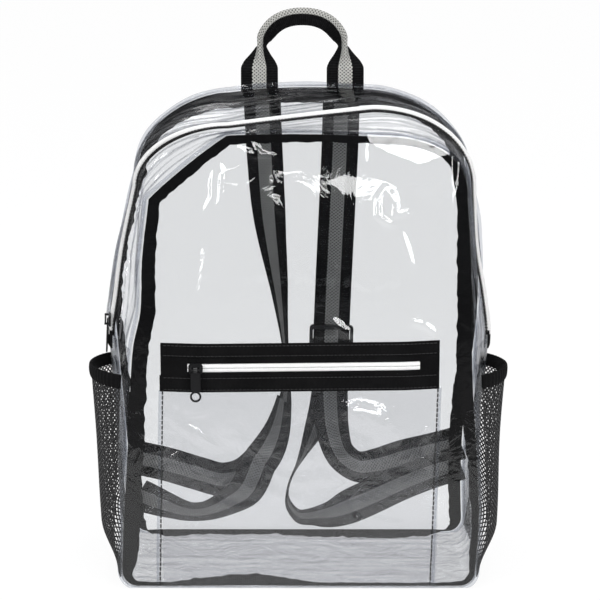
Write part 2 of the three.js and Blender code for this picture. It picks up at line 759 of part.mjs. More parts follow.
// A plate with round ends, in the XZ plane, centred on y.
function roundedPlate(width, height, corner, thickness, holes = []) {
  const shape = new THREE.Shape();
  const w = width / 2;
  const h = height / 2;
  const r = Math.min(corner, w - 0.01, h - 0.01);
  shape.moveTo(-w + r, -h);
  shape.lineTo(w - r, -h);
  shape.absarc(w - r, -h + r, r, -Math.PI / 2, 0);
  shape.lineTo(w, h - r);
  shape.absarc(w - r, h - r, r, 0, Math.PI / 2);
  shape.lineTo(-w + r, h);
  shape.absarc(-w + r, h - r, r, Math.PI / 2, Math.PI);
  shape.lineTo(-w, -h + r);
  shape.absarc(-w + r, -h + r, r, Math.PI, 1.5 * Math.PI);
  shape.holes.push(...holes);
  const settings = { depth: thickness, bevelEnabled: false, curveSegments: 3 };
  return new THREE.ExtrudeGeometry(shape, settings).rotateX(Math.PI / 2).translate(0, thickness / 2, 0);
}

// A slider: a plate on the coil with a crown bar over it. The bar runs along X, the face looks to -Y, and
// the origin is on the bar's axis.
function sliderGeometry() {
  const plate = roundedPlate(sliderLength, sliderWidth, sliderCorner, sliderPlate);
  plate.translate(0, crownLift + sliderPlate / 2, 0);
  const barLength = sliderLength - 2 * (sliderPostInset + sliderPost / 2);
  const bar = new THREE.CylinderGeometry(crownBarRadius, crownBarRadius, barLength, 10).rotateZ(Math.PI / 2);
  const postTop = crownLift + sliderJoint;
  const postHeight = postTop + crownBarRadius;
  const post = (x) => box(sliderPost, postHeight, sliderPostDepth, x, (postTop - crownBarRadius) / 2, 0);
  const reach = (barLength - sliderPost) / 2;
  return joined([plate, bar, post(-reach), post(reach)]);
}

// The pocket pull: an eye round the crown bar, a tab below it and a ring at the tab's end.
function pocketPullGeometry() {
  const eye = eyeRing(pullEyeHole, pullEyeRadius, pullEyeLength);
  const tabTop = pullJoint - pullEyeRadius;
  const tab = roundedPlate(pullWidth, pocketPullLength, pullCorner, pullThickness);
  tab.translate(0, 0, tabTop - pocketPullLength / 2);
  const ringCentre = tabTop - pocketPullLength - pullRingRadius + pullRingOverlap;
  return joined([eye, tab, pullRing().translate(0, 0, ringCentre)]);
}

function eyeRing(inner, outer, length) {
  const shape = new THREE.Shape();
  shape.absarc(0, 0, outer, 0, 2 * Math.PI);
  shape.holes.push(new THREE.Path().absarc(0, 0, inner, 0, 2 * Math.PI, true));
  const ring = new THREE.ExtrudeGeometry(shape, { depth: length, bevelEnabled: false, curveSegments: 8 });
  return ring.translate(0, 0, -length / 2).rotateY(Math.PI / 2);
}

function pullRing() {
  const shape = new THREE.Shape();
  shape.absarc(0, 0, pullRingRadius, 0, 2 * Math.PI);
  shape.holes.push(new THREE.Path().absarc(0, 0, pullRingHole, 0, 2 * Math.PI, true));
  const settings = { depth: pullThickness, bevelEnabled: false, curveSegments: 11 };
  return new THREE.ExtrudeGeometry(shape, settings).rotateX(Math.PI / 2).translate(0, pullThickness / 2, 0);
}

// The main pull: a yoke whose pin passes under a crown bar that runs along Z, with a tab below.
// The pin is along X at the origin and the slider's plate lies behind it, at +Y.
function mainPullGeometry() {
  const armX = crownBarRadius + mainPullSpread;
  const armLength = sliderLength / 2 + mainPullArmPast;
  const wire = mainPullWire;
  const pin = box(2 * armX + wire, wire, wire, 0, 0, 0);
  const arm = (x) => box(wire, wire, armLength + wire / 2, x, 0, -armLength / 2 + wire / 4);
  const tab = roundedPlate(mainPullWidth, mainPullLength, pullCorner, wire);
  tab.translate(0, 0, wire / 2 - armLength - mainPullLength / 2);
  return joined([pin, arm(-armX), arm(armX), tab]);
}

function pocketSlider() {
  const x = -pocketWidth / 2 + pocketEndLeft + sliderLength / 2 + pocketSliderInset;
  const z = pocketLevels.coilMiddle + pocketTilt * x;
  const y = frontFace(x, z) - pocketStandOff - pocketCoilThickness - clearance - sliderPlate - crownLift;
  const slider = mesh("pocket_zip_slider", sliderGeometry(), HARD_BLACK);
  slider.position.set(x, y, z);
  const pull = mesh("pocket_zip_pull", pocketPullGeometry(), HARD_BLACK);
  pull.position.set(x, y, z);
  return [slider, pull];
}

// The main slider sits near the left end of the zip. Its face looks out to the left, and it leans with the
// gusset there, so its pull hangs down along the zip.
function mainSlider() {
  const side = -1;
  const reach = mainPullLength + sliderLength;
  const at = (z, across) => sidePoint(side, z, across);
  const foot = at(mainSliderHeight - reach, zipShare);
  const head = at(mainSliderHeight + sliderLength / 2, zipShare);
  const lean = Math.atan2(head.x - foot.x, head.z - foot.z);
  const edgeX = (fromMiddle) => at(mainSliderHeight, (zipFromFront + fromMiddle) / bodyDepth).x;
  const coilX = Math.min(edgeX(-zipCoilWidth / 2), edgeX(zipCoilWidth / 2)) - zipCoilLift;
  const surfaceX = Math.min(coilX, edgeX(-sliderWidth / 2), edgeX(sliderWidth / 2));
  const rise = clearance + sliderPlate;
  const group = new THREE.Group();
  group.position.set(surfaceX - rise, zipFromFront - halfDepth, mainSliderHeight);
  group.rotation.set(0, lean, 0);
  const slider = mesh("main_zip_slider", sliderGeometry(), HARD_BLACK);
  slider.geometry.rotateY(Math.PI / 2).rotateZ(-Math.PI / 2);
  slider.position.set(-crownLift, 0, 0);
  const pull = mesh("main_zip_pull", mainPullGeometry(), HARD_BLACK);
  pull.geometry.rotateZ(-Math.PI / 2);
  pull.position.set(-(crownLift - crownBarRadius) / 2, 0, 0);
  group.add(slider, pull);
  return group;
}

const strapPoint = (row) =>
  new THREE.Vector3(
    clamp(row.across * halfWidth, -strapSeamEnd, strapSeamEnd),
    halfDepth + clearance + webbingThickness / 2 + row.behind * strapStandOff,
    row.up * backHeight,
  );

// A length of webbing: a frame (point, run, width direction, face direction) at each step along its rows.
function webbingFrames(rows) {
  const steps = (rows.length - 1) * framesPerRow;
  const points = rows.map((row) => row.point ?? strapPoint(row));
  const curve = new THREE.CatmullRomCurve3(points, false, "centripetal");
  return Array.from({ length: steps + 1 }, (_, i) => {
    const t = i / steps;
    const place = t * (rows.length - 1);
    const low = Math.min(Math.floor(place), rows.length - 2);
    const turn = lerp(rows[low].turn, rows[low + 1].turn, place - low);
    const run = curve.getTangent(t);
    const width = new THREE.Vector3(0, 1, 0).cross(run).normalize().applyAxisAngle(run, radians(turn));
    return { point: curve.getPoint(t), run, width, face: run.clone().cross(width).normalize(), turn };
  });
}

function webbingBar(frames) {
  const w = webbingWidth / 2;
  const t = webbingThickness / 2;
  const corners = [[-w, -t], [w, -t], [w, t], [-w, t]];
  const sections = frames.map((f) =>
    corners.map(([a, b]) => f.point.clone().addScaledVector(f.width, a).addScaledVector(f.face, b)),
  );
  return sweepSections(sections);
}

// The adjuster plate: three bars and two slots. Height along Z, faces to front and back.
function adjusterGeometry() {
  const slotHalf = adjusterWidth / 2 - adjusterRim;
  const offset = (adjusterBar + adjusterSlot) / 2;
  const slot = (z) => {
    const hole = new THREE.Path();
    hole.moveTo(-slotHalf, z - adjusterSlot / 2);
    hole.lineTo(-slotHalf, z + adjusterSlot / 2);
    hole.lineTo(slotHalf, z + adjusterSlot / 2);
    hole.lineTo(slotHalf, z - adjusterSlot / 2);
    return hole;
  };
  const height = 3 * adjusterBar + 2 * adjusterSlot;
  const holes = [slot(offset), slot(-offset)];
  return roundedPlate(adjusterWidth, height, adjusterCorner, adjusterThickness, holes);
}

// A shoulder strap and the adjuster that it threads through. The webbing steps through the upper slot,
// over the middle bar and back through the lower slot.
function shoulderStrap(name, adjusterName, rows, adjusterRow) {
  const frames = webbingFrames(rows);
  const centre = frames[adjusterRow * framesPerRow];
  const away = centre.face.dot(new THREE.Vector3(0, 1, 0)) < 0 ? 1 : -1;
  const face = centre.face.clone().multiplyScalar(away);
  const run = centre.run;
  const step = adjusterThickness + webbingThickness + 2 * clearance;
  const barHalf = adjusterBar / 2;
  const inner = barHalf + weaveInset;
  const outer = barHalf + adjusterSlot - weaveInset;
  const end = barHalf + adjusterSlot + adjusterBar + weaveTail;
  const weave = [[-end, 0], [-outer, 0], [-inner, 1], [inner, 1], [outer, 0], [end, 0]];
  const threaded = weave.map(([s, over], i) => {
    const before = weave[Math.max(i - 1, 0)];
    const after = weave[Math.min(i + 1, weave.length - 1)];
    const slope = new THREE.Vector3()
      .addScaledVector(run, after[0] - before[0])
      .addScaledVector(face, (after[1] - before[1]) * step)
      .normalize();
    const point = centre.point.clone().addScaledVector(run, s).addScaledVector(face, over * step);
    return { point, run: slope, width: centre.width, face: slope.clone().cross(centre.width).normalize() };
  });
  const distance = (f) => f.point.clone().sub(centre.point).dot(run);
  const apart = end + weaveApart;
  const isAbove = (f) => f.point.z > centre.point.z;
  const above = frames.filter((f) => distance(f) < -apart && isAbove(f));
  const below = frames.filter((f) => distance(f) > apart || (!isAbove(f) && distance(f) < -end));
  const strap = mesh(name, webbingBar([...above, ...threaded, ...below]), WEBBING);
  const adjuster = mesh(adjusterName, adjusterGeometry(), HARD_BLACK);
  const front = face.clone().negate();
  const up = run.clone().negate();
  const basis = new THREE.Matrix4().makeBasis(centre.width, front, up);
  if (basis.determinant() < 0) basis.makeBasis(centre.width.clone().negate(), front, up);
  adjuster.quaternion.setFromRotationMatrix(basis);
  adjuster.position.copy(centre.point).addScaledVector(face, step / 2);
  return [strap, adjuster];
}

function lowerStrap(name, route, shoulderRows) {
  const from = route.fromRow * framesPerRow;
  const to = route.toRow * framesPerRow;
  const shift = route.layer * (webbingThickness + strapLayerGap);
  const beside = webbingFrames(shoulderRows)
    .slice(from, to + 1)
    .map((frame) => ({ ...frame, point: frame.point.clone().addScaledVector(frame.face, shift) }));
  const own = webbingFrames([...beside, ...route.rows]).slice((beside.length - 1) * framesPerRow + 1);
  return mesh(name, webbingBar([...beside, ...own]), WEBBING);
}

// The carry handle: flat ends sewn at the back seam, wings folding back to a narrow neck, then an arch in
// which the webbing is folded in half with the fold on the outside.
function handle() {
  const seamZ = backHeight;
  const y = halfDepth + clearance + webbingThickness / 2;
  const flatSteps = 3;
  const neckSteps = 4;
  const archSteps = 14;
  const frames = [];
  const half = [];
  for (let i = 0; i <= flatSteps; i += 1) {
    const z = lerp(-handleSewnDepth, handleFlatRise, i / flatSteps);
    half.push({ x: handleHalfSpan, z, fold: 90, swing: 90, tangent: 90 });
  }
  for (let i = 1; i <= neckSteps; i += 1) {
    const t = i / neckSteps;
    const z = lerp(handleFlatRise, handleNeckRise, t);
    half.push({ x: handleHalfSpan, z, fold: lerp(90, handleNeckFold, smooth(t)), swing: 90, tangent: 90 });
  }
  for (let i = 1; i <= archSteps / 2; i += 1) {
    const t = i / (archSteps / 2);
    const angle = radians(90 * t);
    const x = handleHalfSpan * Math.cos(angle);
    const z = handleNeckRise + (handleTopRise - handleNeckRise) * Math.sin(angle);
    const tangent = THREE.MathUtils.radToDeg(
      Math.atan2((handleTopRise - handleNeckRise) * Math.cos(angle), -handleHalfSpan * Math.sin(angle)),
    );
    const swing = lerp(90, 0, smooth(clamp(t / handleSwingShare, 0, 1)));
    half.push({ x, z, fold: lerp(handleNeckFold, handleFoldAngle, t), swing, tangent });
  }
  for (const side of [1, -1]) {
    const run = half.map((h) => ({ ...h, side }));
    frames.push(...(side > 0 ? run : run.reverse().slice(1)));
  }
  const sections = frames.map((f) => {
    const tangent = radians(f.tangent);
    const inward = new THREE.Vector3(-Math.sin(tangent) * f.side, 0, Math.cos(tangent));
    const back = new THREE.Vector3(0, 1, 0);
    const swing = radians(f.swing);
    const bisector = inward.multiplyScalar(Math.cos(swing)).addScaledVector(back, Math.sin(swing));
    const along = new THREE.Vector3(Math.cos(tangent) * f.side, 0, Math.sin(tangent));
    const spine = new THREE.Vector3(handleCentre + f.side * f.x, y, seamZ + f.z);
    return foldedSection(spine, bisector, along, radians(f.fold), f.side);
  });
  return mesh("handle", sweepSections(sections), WEBBING);
}

// Webbing folded about its middle line: two wings, each at the fold angle from the bisector.
function foldedSection(spine, bisector, along, fold, side) {
  const across = bisector.clone().cross(along).normalize().multiplyScalar(side);
  const wing = (sign) =>
    bisector.clone().multiplyScalar(Math.cos(fold)).addScaledVector(across, sign * Math.sin(fold));
  const normal = (sign) =>
    bisector.clone().multiplyScalar(Math.sin(fold)).addScaledVector(across, -sign * Math.cos(fold));
  const reach = webbingWidth / 2;
  const t = webbingThickness;
  const vertex = spine.clone().addScaledVector(bisector, -t / 2);
  const tip = (sign) => vertex.clone().addScaledVector(wing(sign), reach);
  const tipInner = (sign) => tip(sign).addScaledVector(normal(sign), t);
  const crook = vertex.clone().addScaledVector(bisector, Math.min(t / Math.sin(fold), reach * 0.8));
  return [tip(1), vertex, tip(-1), tipInner(-1), crook, tipInner(1)];
}

// Side pocket of net: sewn to the gusset along both seams and the foot, standing off it in between.
function netBulgeAt(across, rise) {
  const belly = Math.sin(Math.PI * clamp(across, 0, 1)) ** netBellyPower;
  const foot = smooth(clamp(rise / netFootShare, 0, 1));
  return netBulge * belly * foot * lerp(1, netTopShare, rise);
}

function netSurface(side, lowRise, highRise, rows, cols, lift) {
  return Array.from({ length: rows + 1 }, (_, i) => {
    const rise = lerp(lowRise, highRise, i / rows);
    return Array.from({ length: cols + 1 }, (__, j) => {
      const across = lerp(netSeamShare, 1 - netSeamShare, j / cols);
      const top = lerp(hemFrontTop, hemBackTop, across);
      const z = lerp(netFoot, top, rise);
      const p = sidePoint(side, z, across);
      p.x += side * (lift + netBulgeAt(across, rise));
      return p;
    });
  });
}

function sidePocket(side, name) {
  const hemShare = hemHeight / (hemFrontTop - netFoot);
  const hemFoot = 1 - hemShare;
  const gapShare = clearance / (hemFrontTop - netFoot);
  const base = clearance + netStandOff;
  const netOuter = netSurface(side, 0, hemFoot - gapShare, 8, 12, base + netWall);
  const netInner = netSurface(side, 0, hemFoot - gapShare, 8, 12, base);
  const overhang = (hemThickness - netWall) / 2;
  const hemOuter = netSurface(side, hemFoot, 1, 1, 12, base + netWall + overhang);
  const hemInner = netSurface(side, hemFoot, 1, 1, 12, base - overhang * hemInnerShare);
  return [
    mesh("mesh_pocket_" + name, sheetBetween(netOuter, netInner), NET),
    mesh("pocket_hem_" + name, sheetBetween(hemOuter, hemInner), TAPE),
  ];
}

const innerFront = (x, z) => frontFace(x, z) + sheetWall;
const innerBack = () => halfDepth - sheetWall;

const backpack = new THREE.Group();
backpack.add(
  frontPanel(),
  backPanel(),
  ...gussets(),
  zipEnd("zip_end_left", -1),
  zipEnd("zip_end_right", 1),
  binding("front_binding", FRONT_LOOP, innerFront, 1),
  binding("back_binding", BACK_LOOP, innerBack, -1),
  ...pocket(),
  ...pocketSlider(),
  mainSlider(),
  handle(),
  ...shoulderStrap("shoulder_strap_left", "strap_adjuster_left", STRAP_ROWS.left, 7),
  ...shoulderStrap("shoulder_strap_right", "strap_adjuster_right", STRAP_ROWS.right, 5),
  lowerStrap("lower_strap_left", LOWER_STRAPS.left, STRAP_ROWS.left),
  lowerStrap("lower_strap_right", LOWER_STRAPS.right, STRAP_ROWS.right),
  ...sidePocket(-1, "left"),
  ...sidePocket(1, "right"),
);

export default backpack;
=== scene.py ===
"""Looks of the clear zip-top backpack. Lengths are millimetres until a mesh is made."""

import math

import bpy
import numpy as np
from mathutils import Matrix, Vector, noise

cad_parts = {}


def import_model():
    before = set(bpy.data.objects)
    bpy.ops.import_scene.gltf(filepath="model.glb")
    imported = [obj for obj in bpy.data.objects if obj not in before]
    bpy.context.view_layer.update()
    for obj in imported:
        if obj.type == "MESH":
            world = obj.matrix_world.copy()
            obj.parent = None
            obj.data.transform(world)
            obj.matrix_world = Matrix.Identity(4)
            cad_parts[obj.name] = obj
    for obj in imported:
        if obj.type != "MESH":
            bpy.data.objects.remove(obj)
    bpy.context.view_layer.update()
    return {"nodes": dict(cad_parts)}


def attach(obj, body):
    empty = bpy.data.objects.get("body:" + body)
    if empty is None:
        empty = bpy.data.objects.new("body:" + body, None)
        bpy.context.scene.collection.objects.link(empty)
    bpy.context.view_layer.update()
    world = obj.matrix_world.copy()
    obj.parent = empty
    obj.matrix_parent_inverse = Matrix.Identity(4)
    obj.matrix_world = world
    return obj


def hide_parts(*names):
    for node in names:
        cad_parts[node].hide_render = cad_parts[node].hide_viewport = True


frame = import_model()
scene = bpy.context.scene

# Sizes of the part
HALF_WIDTH = 152.5
FRONT_HEIGHT = 397.0
BACK_HEIGHT = 410.0
DEPTH = 140.0
HALF_DEPTH = DEPTH / 2
BOTTOM_RADIUS = 15.0
ZIP_FROM_FRONT = 50.0
ZIP_SHARE = ZIP_FROM_FRONT / DEPTH
ZIP_END_HEIGHT = 212.0
SHOULDER_START = 0.86 * FRONT_HEIGHT
SHOULDER_INNER = 0.395 * HALF_WIDTH
SHEET = 0.7
COIL_WIDTH = 4.0
TAPE_SHOWN = 4.4
GAP = 0.3
WEBBING_WIDTH = 32.0
WEBBING_THICKNESS = 1.6

# Outline of the bag: shares of the half width at shares of the front's height, by line and side
HEIGHTS = np.array([0.04, 0.15, 0.3, 0.45, 0.54, 0.62, 0.73, 0.86])
SIDES = {
    ("front", 1): [0.99, 1.007, 0.989, 0.963, 0.956, 0.951, 0.942, 0.918],
    ("zip", 1): [0.997, 1.01, 1.015, 1.035, 1.045, 1.02, 0.97, 0.948],
    ("back", 1): [0.964, 0.957, 0.975, 1.02, 1.04, 1.039, 1.022, 0.951],
    ("front", -1): [1.007, 0.997, 0.97, 0.948, 0.928, 0.885, 0.872, 0.83],
    ("zip", -1): [1.003, 1.02, 1.03, 1.045, 1.05, 1.02, 0.977, 0.902],
    ("back", -1): [0.99, 1.01, 1.035, 1.065, 1.08, 1.066, 1.01, 0.925],
}
# Height of the top, its shares at the right and left, squareness of the two shoulders, and the crown's share
SHOULDERS = {
    "front": dict(top=FRONT_HEIGHT, level={1: 0.995, -1: 0.997}, square={1: 2.4, -1: 1.08}, crown=0.004),
    "zip": dict(top=FRONT_HEIGHT, level={1: 1.025, -1: 0.988}, square={1: 2.05, -1: 2}, crown=0.001),
    "back": dict(top=BACK_HEIGHT, level={1: 0.995, -1: 0.99}, square={1: 1.75, -1: 1.8}, crown=0.0085),
}
# Side, centre across the depth, lowest and highest share of the height, depth and spread
GUSSET_FOLDS = [
    (-1, 0.13, 0.5, 0.84, 3.6, 0.07),
    (-1, 0.62, 0.5, 0.9, 3.0, 0.1),
    (1, 0.7, 0.52, 0.82, 2.6, 0.1),
]
COUNTS = dict(bottom=90, corner=10, lower=70, upper=52, shoulder=56, top=44)
FINE_ZIP = dict(COUNTS, upper=70, shoulder=80, top=64)
COIL_TURNS = dict(COUNTS, upper=170, shoulder=190, top=150)
SIDE_SECTIONS = ["corner", "lower", "upper", "shoulder"]


def smooth(t):
    """Eases from 0 to 1 as t goes from 0 to 1."""
    t = np.clip(t, 0, 1)
    return t * t * (3 - 2 * t)


def half_width(line, side, z):
    """Half width of a line at a height, on a smooth curve through its shares."""
    values = SIDES[line, side]
    last = len(HEIGHTS) - 1
    h = min(max(z / FRONT_HEIGHT, HEIGHTS[0]), HEIGHTS[-1])
    i = min(int(np.searchsorted(HEIGHTS, h, side="right")) - 1, last - 1)

    def slope(k):
        a, b = max(k - 1, 0), min(k + 1, last)
        return (values[b] - values[a]) / (HEIGHTS[b] - HEIGHTS[a])

    span = HEIGHTS[i + 1] - HEIGHTS[i]
    t = (h - HEIGHTS[i]) / span
    return HALF_WIDTH * (
        (2 * t**3 - 3 * t**2 + 1) * values[i]
        + (t**3 - 2 * t**2 + t) * span * slope(i)
        + (3 * t**2 - 2 * t**3) * values[i + 1]
        + (t**3 - t**2) * span * slope(i + 1)
    )


def line_point(line, station):
    """x and z of the front, zip or back line at a station (section, side, t)."""
    section, side, t = station
    shape = SHOULDERS[line]
    angle = t * math.pi / 2
    if section == "bottom":
        across = 2 * t - 1
        corner = half_width(line, 1 if across >= 0 else -1, BOTTOM_RADIUS) - BOTTOM_RADIUS
        return across * corner, 0.0
    if section == "corner":
        corner = half_width(line, side, BOTTOM_RADIUS) - BOTTOM_RADIUS
        return side * (corner + BOTTOM_RADIUS * math.sin(angle)), BOTTOM_RADIUS * (1 - math.cos(angle))
    if section in ("lower", "upper"):
        ends = (BOTTOM_RADIUS, ZIP_END_HEIGHT) if section == "lower" else (ZIP_END_HEIGHT, SHOULDER_START)
        z = ends[0] + (ends[1] - ends[0]) * t
        return side * half_width(line, side, z), z
    if section == "top":
        right, left = (shape["top"] * shape["level"][s] for s in (1, -1))
        across = 1 - 2 * t
        level = right + (left - right) * (1 - across) / 2
        return across * SHOULDER_INNER, level + shape["top"] * shape["crown"] * (1 - across * across)
    power = 2 / shape["square"][side]
    top = shape["top"] * shape["level"][side]
    outer = half_width(line, side, SHOULDER_START)
    x = SHOULDER_INNER + (outer - SHOULDER_INNER) * max(math.cos(angle), 0) ** power
    return side * x, SHOULDER_START + (top - SHOULDER_START) * math.sin(angle) ** power


def side_run(sections, counts, side):
    """Stations up one side, first section first."""
    out = [(section, side, i / counts[section]) for section in sections for i in range(counts[section])]
    return out + [(sections[-1], side, 1.0)]


def level_run(section, counts):
    """Stations along the bottom or the top, without the last."""
    return [(section, 1, i / counts[section]) for i in range(counts[section])]


def zip_run(counts=COUNTS):
    right, left = (side_run(["upper", "shoulder"], counts, side) for side in (1, -1))
    return right[:-1] + level_run("top", counts) + left[::-1]


def base_run():
    right, left = (side_run(["corner", "lower"], COUNTS, side)[1:] for side in (1, -1))
    return left[::-1] + level_run("bottom", COUNTS) + [("bottom", 1, 1.0)] + right


def outline_run():
    right, left = (side_run(SIDE_SECTIONS, COUNTS, side) for side in (1, -1))
    return level_run("bottom", COUNTS) + right[:-1] + level_run("top", COUNTS) + left[1:][::-1]


def noise_field(points, size, seed, octaves=2):
    """Smooth noise from -1 to 1 at each row of points, with a size along each of its columns."""
    offset = Vector((seed * 17.3, seed * 5.1, seed * 9.7))
    out = np.zeros(len(points))
    for i, p in enumerate(points / np.asarray(size, float)):
        v = Vector(p) + offset
        amp = 1.0
        for _ in range(octaves):
            out[i] += amp * noise.noise(v)
            v = v * 2.03
            amp *= 0.45
    return out


def plane_noise(x, z, wide, high, seed):
    flat = np.stack([x.ravel(), z.ravel(), np.zeros(x.size)], axis=1)
    return noise_field(flat, (wide, high, 1), seed).reshape(x.shape)


def gusset_points(run, across):
    """Outer surface of the gusset: rows are stations, columns places across the depth from 0 to 1."""
    a = np.asarray(across, float)
    share_front = (a - ZIP_SHARE) * (a - 1) / ZIP_SHARE
    share_zip = a * (a - 1) / (ZIP_SHARE * (ZIP_SHARE - 1))
    share_back = a * (a - ZIP_SHARE) / (1 - ZIP_SHARE)
    rows = []
    for station in run:
        f, m, b = (line_point(line, station) for line in ("front", "zip", "back"))
        x, z = (f[k] * share_front + m[k] * share_zip + b[k] * share_back for k in (0, 1))
        for side, centre, low, high, depth, spread in GUSSET_FOLDS:
            if side != station[1] or station[0] in ("bottom", "top"):
                continue
            along = (z / FRONT_HEIGHT - low) / (high - low)
            inside = (along > 0) & (along < 1)
            push = depth * np.sin(np.pi * np.clip(along, 0, 1)) * np.exp(-(((a - centre) / spread) ** 2))
            x = x - side * np.where(inside, push, 0)
        rows.append(np.stack([x, -HALF_DEPTH + DEPTH * a, z], axis=1))
    return np.array(rows)


def grid_normals(grid, centre=(0, 0, 198)):
    """Unit normals of a grid of points, turned away from a centre line along Y."""
    n = np.cross(np.gradient(grid, axis=0), np.gradient(grid, axis=1))
    n /= np.linalg.norm(n, axis=2, keepdims=True) + 1e-12
    out = grid - np.array(centre, float)
    out[..., 1] = 0
    return n if (n * out).sum(axis=2).mean() >= 0 else -n


def side_point(side, z, across):
    """A point of the gusset surface at a height on one side."""
    if z < BOTTOM_RADIUS:
        station = ("corner", side, 2 / math.pi * math.acos(1 - max(z, 0) / BOTTOM_RADIUS))
    elif z <= ZIP_END_HEIGHT:
        station = ("lower", side, (z - BOTTOM_RADIUS) / (ZIP_END_HEIGHT - BOTTOM_RADIUS))
    else:
        station = ("upper", side, (z - ZIP_END_HEIGHT) / (SHOULDER_START - ZIP_END_HEIGHT))
    return gusset_points([station], [across])[0, 0]


# Mesh making
UV_UNIT = 100.0
BOX_FACES = np.array([[0, 1, 2, 3], [4, 7, 6, 5], [0, 4, 5, 1], [1, 5, 6, 2], [2, 6, 7, 3], [3, 7, 4, 0]])


def make_object(name, vertices, faces, uvs, material, replaces=(), sharp=50):
    """A mesh that rides on the bag. Its uvs are in hundreds of millimetres."""
    mesh = bpy.data.meshes.new(name)
    mesh.from_pydata((vertices / 1000).tolist(), [], faces.tolist())
    layer = mesh.uv_layers.new(name="UVMap")
    corners = np.array([corner.vertex_index for corner in mesh.loops])
    layer.data.foreach_set("uv", (uvs[corners] / UV_UNIT).ravel())
    mesh.polygons.foreach_set("use_smooth", [True] * len(mesh.polygons))
    mesh.set_sharp_from_angle(angle=math.radians(sharp))
    mesh.materials.append(material)
    mesh.validate()
    obj = bpy.data.objects.new(name, mesh)
    scene.collection.objects.link(obj)
    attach(obj, "bag")
    if replaces:
        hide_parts(*replaces)
    return obj


def make_sheet(name, outer, inner, uv, material, replaces=(), ring=False, sharp=50):
    """A closed sheet between two grids of points, whose rows may be joined up in a ring."""
    rows, cols = outer.shape[:2]
    half = rows * cols
    ids = np.arange(half).reshape(rows, cols)
    a, b = (ids, np.roll(ids, -1, axis=0)) if ring else (ids[:-1], ids[1:])
    over = np.stack([a[:, :-1], b[:, :-1], b[:, 1:], a[:, 1:]], axis=-1).reshape(-1, 4)
    edges = [(a[:, 0], b[:, 0], 1), (a[:, -1], b[:, -1], -1)]
    if not ring:
        edges += [(ids[0, :-1], ids[0, 1:], -1), (ids[-1, :-1], ids[-1, 1:], 1)]
    rims = [np.stack([p, p + half, q + half, q], axis=-1)[:, ::turn] for p, q, turn in edges]
    faces = np.concatenate([over, over[:, [0, 3, 2, 1]] + half, *rims])
    vertices = np.concatenate([outer.reshape(-1, 3), inner.reshape(-1, 3)])
    a, b, c, d = (vertices[faces[:, i]] for i in range(4))
    volume = (a * np.cross(b, c)).sum() + (a * np.cross(c, d)).sum()
    faces = faces[:, ::-1] if volume < 0 else faces
    uvs = np.concatenate([uv.reshape(-1, 2)] * 2)
    return make_object(name, vertices, faces, uvs, material, replaces, sharp)


def lifted_sheet(name, grid, high, low, material, replaces, sharp=50):
    """A sheet whose two faces lie high and low over a grid of points."""
    normals = grid_normals(grid)
    outer, inner = (grid + normals * np.broadcast_to(rise, grid.shape[:2])[..., None] for rise in (high, low))
    return make_sheet(name, outer, inner, grid_uv(grid), material, replaces, sharp=sharp)


def clear_sheet(name, x, y, z, thickness, material, replaces=()):
    """A clear sheet over points x, y and z, whose other face is a thickness further back."""
    grid = np.stack([x, y, z], axis=-1)
    behind = grid + np.array([0, thickness, 0])
    return make_sheet(name, grid, behind, grid_uv(grid), material, replaces)


def arc_lengths(points):
    return np.concatenate([[0], np.cumsum(np.linalg.norm(np.diff(points, axis=0), axis=1))])


def grid_uv(grid):
    """uv in millimetres: u along the rows' middle line, v across the middle row."""
    u = arc_lengths(grid[:, grid.shape[1] // 2])
    v = arc_lengths(grid[grid.shape[0] // 2])
    return pairs(u, v - v[-1] / 2)


def pairs(u, v):
    """Every u with every v, as rows and columns."""
    return np.stack(np.meshgrid(u, v, indexing="ij"), axis=-1)


def bars_between(starts, ends, normals, width, thickness, taper):
    """One flat bar along each start to end, as vertices and faces of many boxes."""
    starts, ends, normals = (np.asarray(x, float) for x in (starts, ends, normals))
    run = ends - starts
    run /= np.linalg.norm(run, axis=1, keepdims=True) + 1e-9
    across = np.cross(normals, run)
    across /= np.linalg.norm(across, axis=1, keepdims=True) + 1e-9
    up = np.cross(run, across)
    corners = []
    for base in (starts, ends):
        for a, b in ((-1, -1), (1, -1), (1, 1), (-1, 1)):
            w = width / 2 * (taper if b > 0 else 1)
            corners.append(base + across * (a * w) + up * (b * thickness / 2))
    faces = (BOX_FACES[None] + 8 * np.arange(len(starts))[:, None, None]).reshape(-1, 4)
    return np.stack(corners, axis=1).reshape(-1, 3), faces


def make_bars(name, blocks, material, replaces=()):
    """Joins blocks of bars, each given as vertices and faces, into one mesh."""
    firsts = np.cumsum([0] + [len(vertices) for vertices, _ in blocks])
    vertices = np.concatenate([vertices for vertices, _ in blocks])
    faces = np.concatenate([faces + first for (_, faces), first in zip(blocks, firsts)])
    return make_object(name, vertices, faces, np.zeros((len(vertices), 2)), material, replaces)


def stitches(path, normals, stitch, gap, width, thickness, wander=0.0):
    """Bars for a row of stitches along a path, each lying on the surface that the normals give."""
    s = arc_lengths(path)
    count = max(int(s[-1] / (stitch + gap)), 1)
    pitch = s[-1] / count
    rng = np.random.default_rng(1)

    def at(values, places):
        return np.stack([np.interp(places, s, values[:, k]) for k in range(3)], axis=1)

    first = np.arange(count) * pitch + gap / 2
    last = first + pitch - gap
    a, b, n = at(path, first), at(path, last), at(normals, (first + last) / 2)
    n /= np.linalg.norm(n, axis=1, keepdims=True)
    if wander:
        side = np.cross(n, b - a)
        side /= np.linalg.norm(side, axis=1, keepdims=True)
        a = a + side * rng.normal(0, wander, (count, 1))
        b = b + side * rng.normal(0, wander, (count, 1))
    lift = n * thickness * 0.3
    return bars_between(a + lift, b + lift, n, width, thickness, 0.5)


# Materials
WHITE = (1, 1, 1)
WOVEN = {"Roughness": 0.85, "Specular IOR Level": 0.05, "Sheen Weight": 0.01}


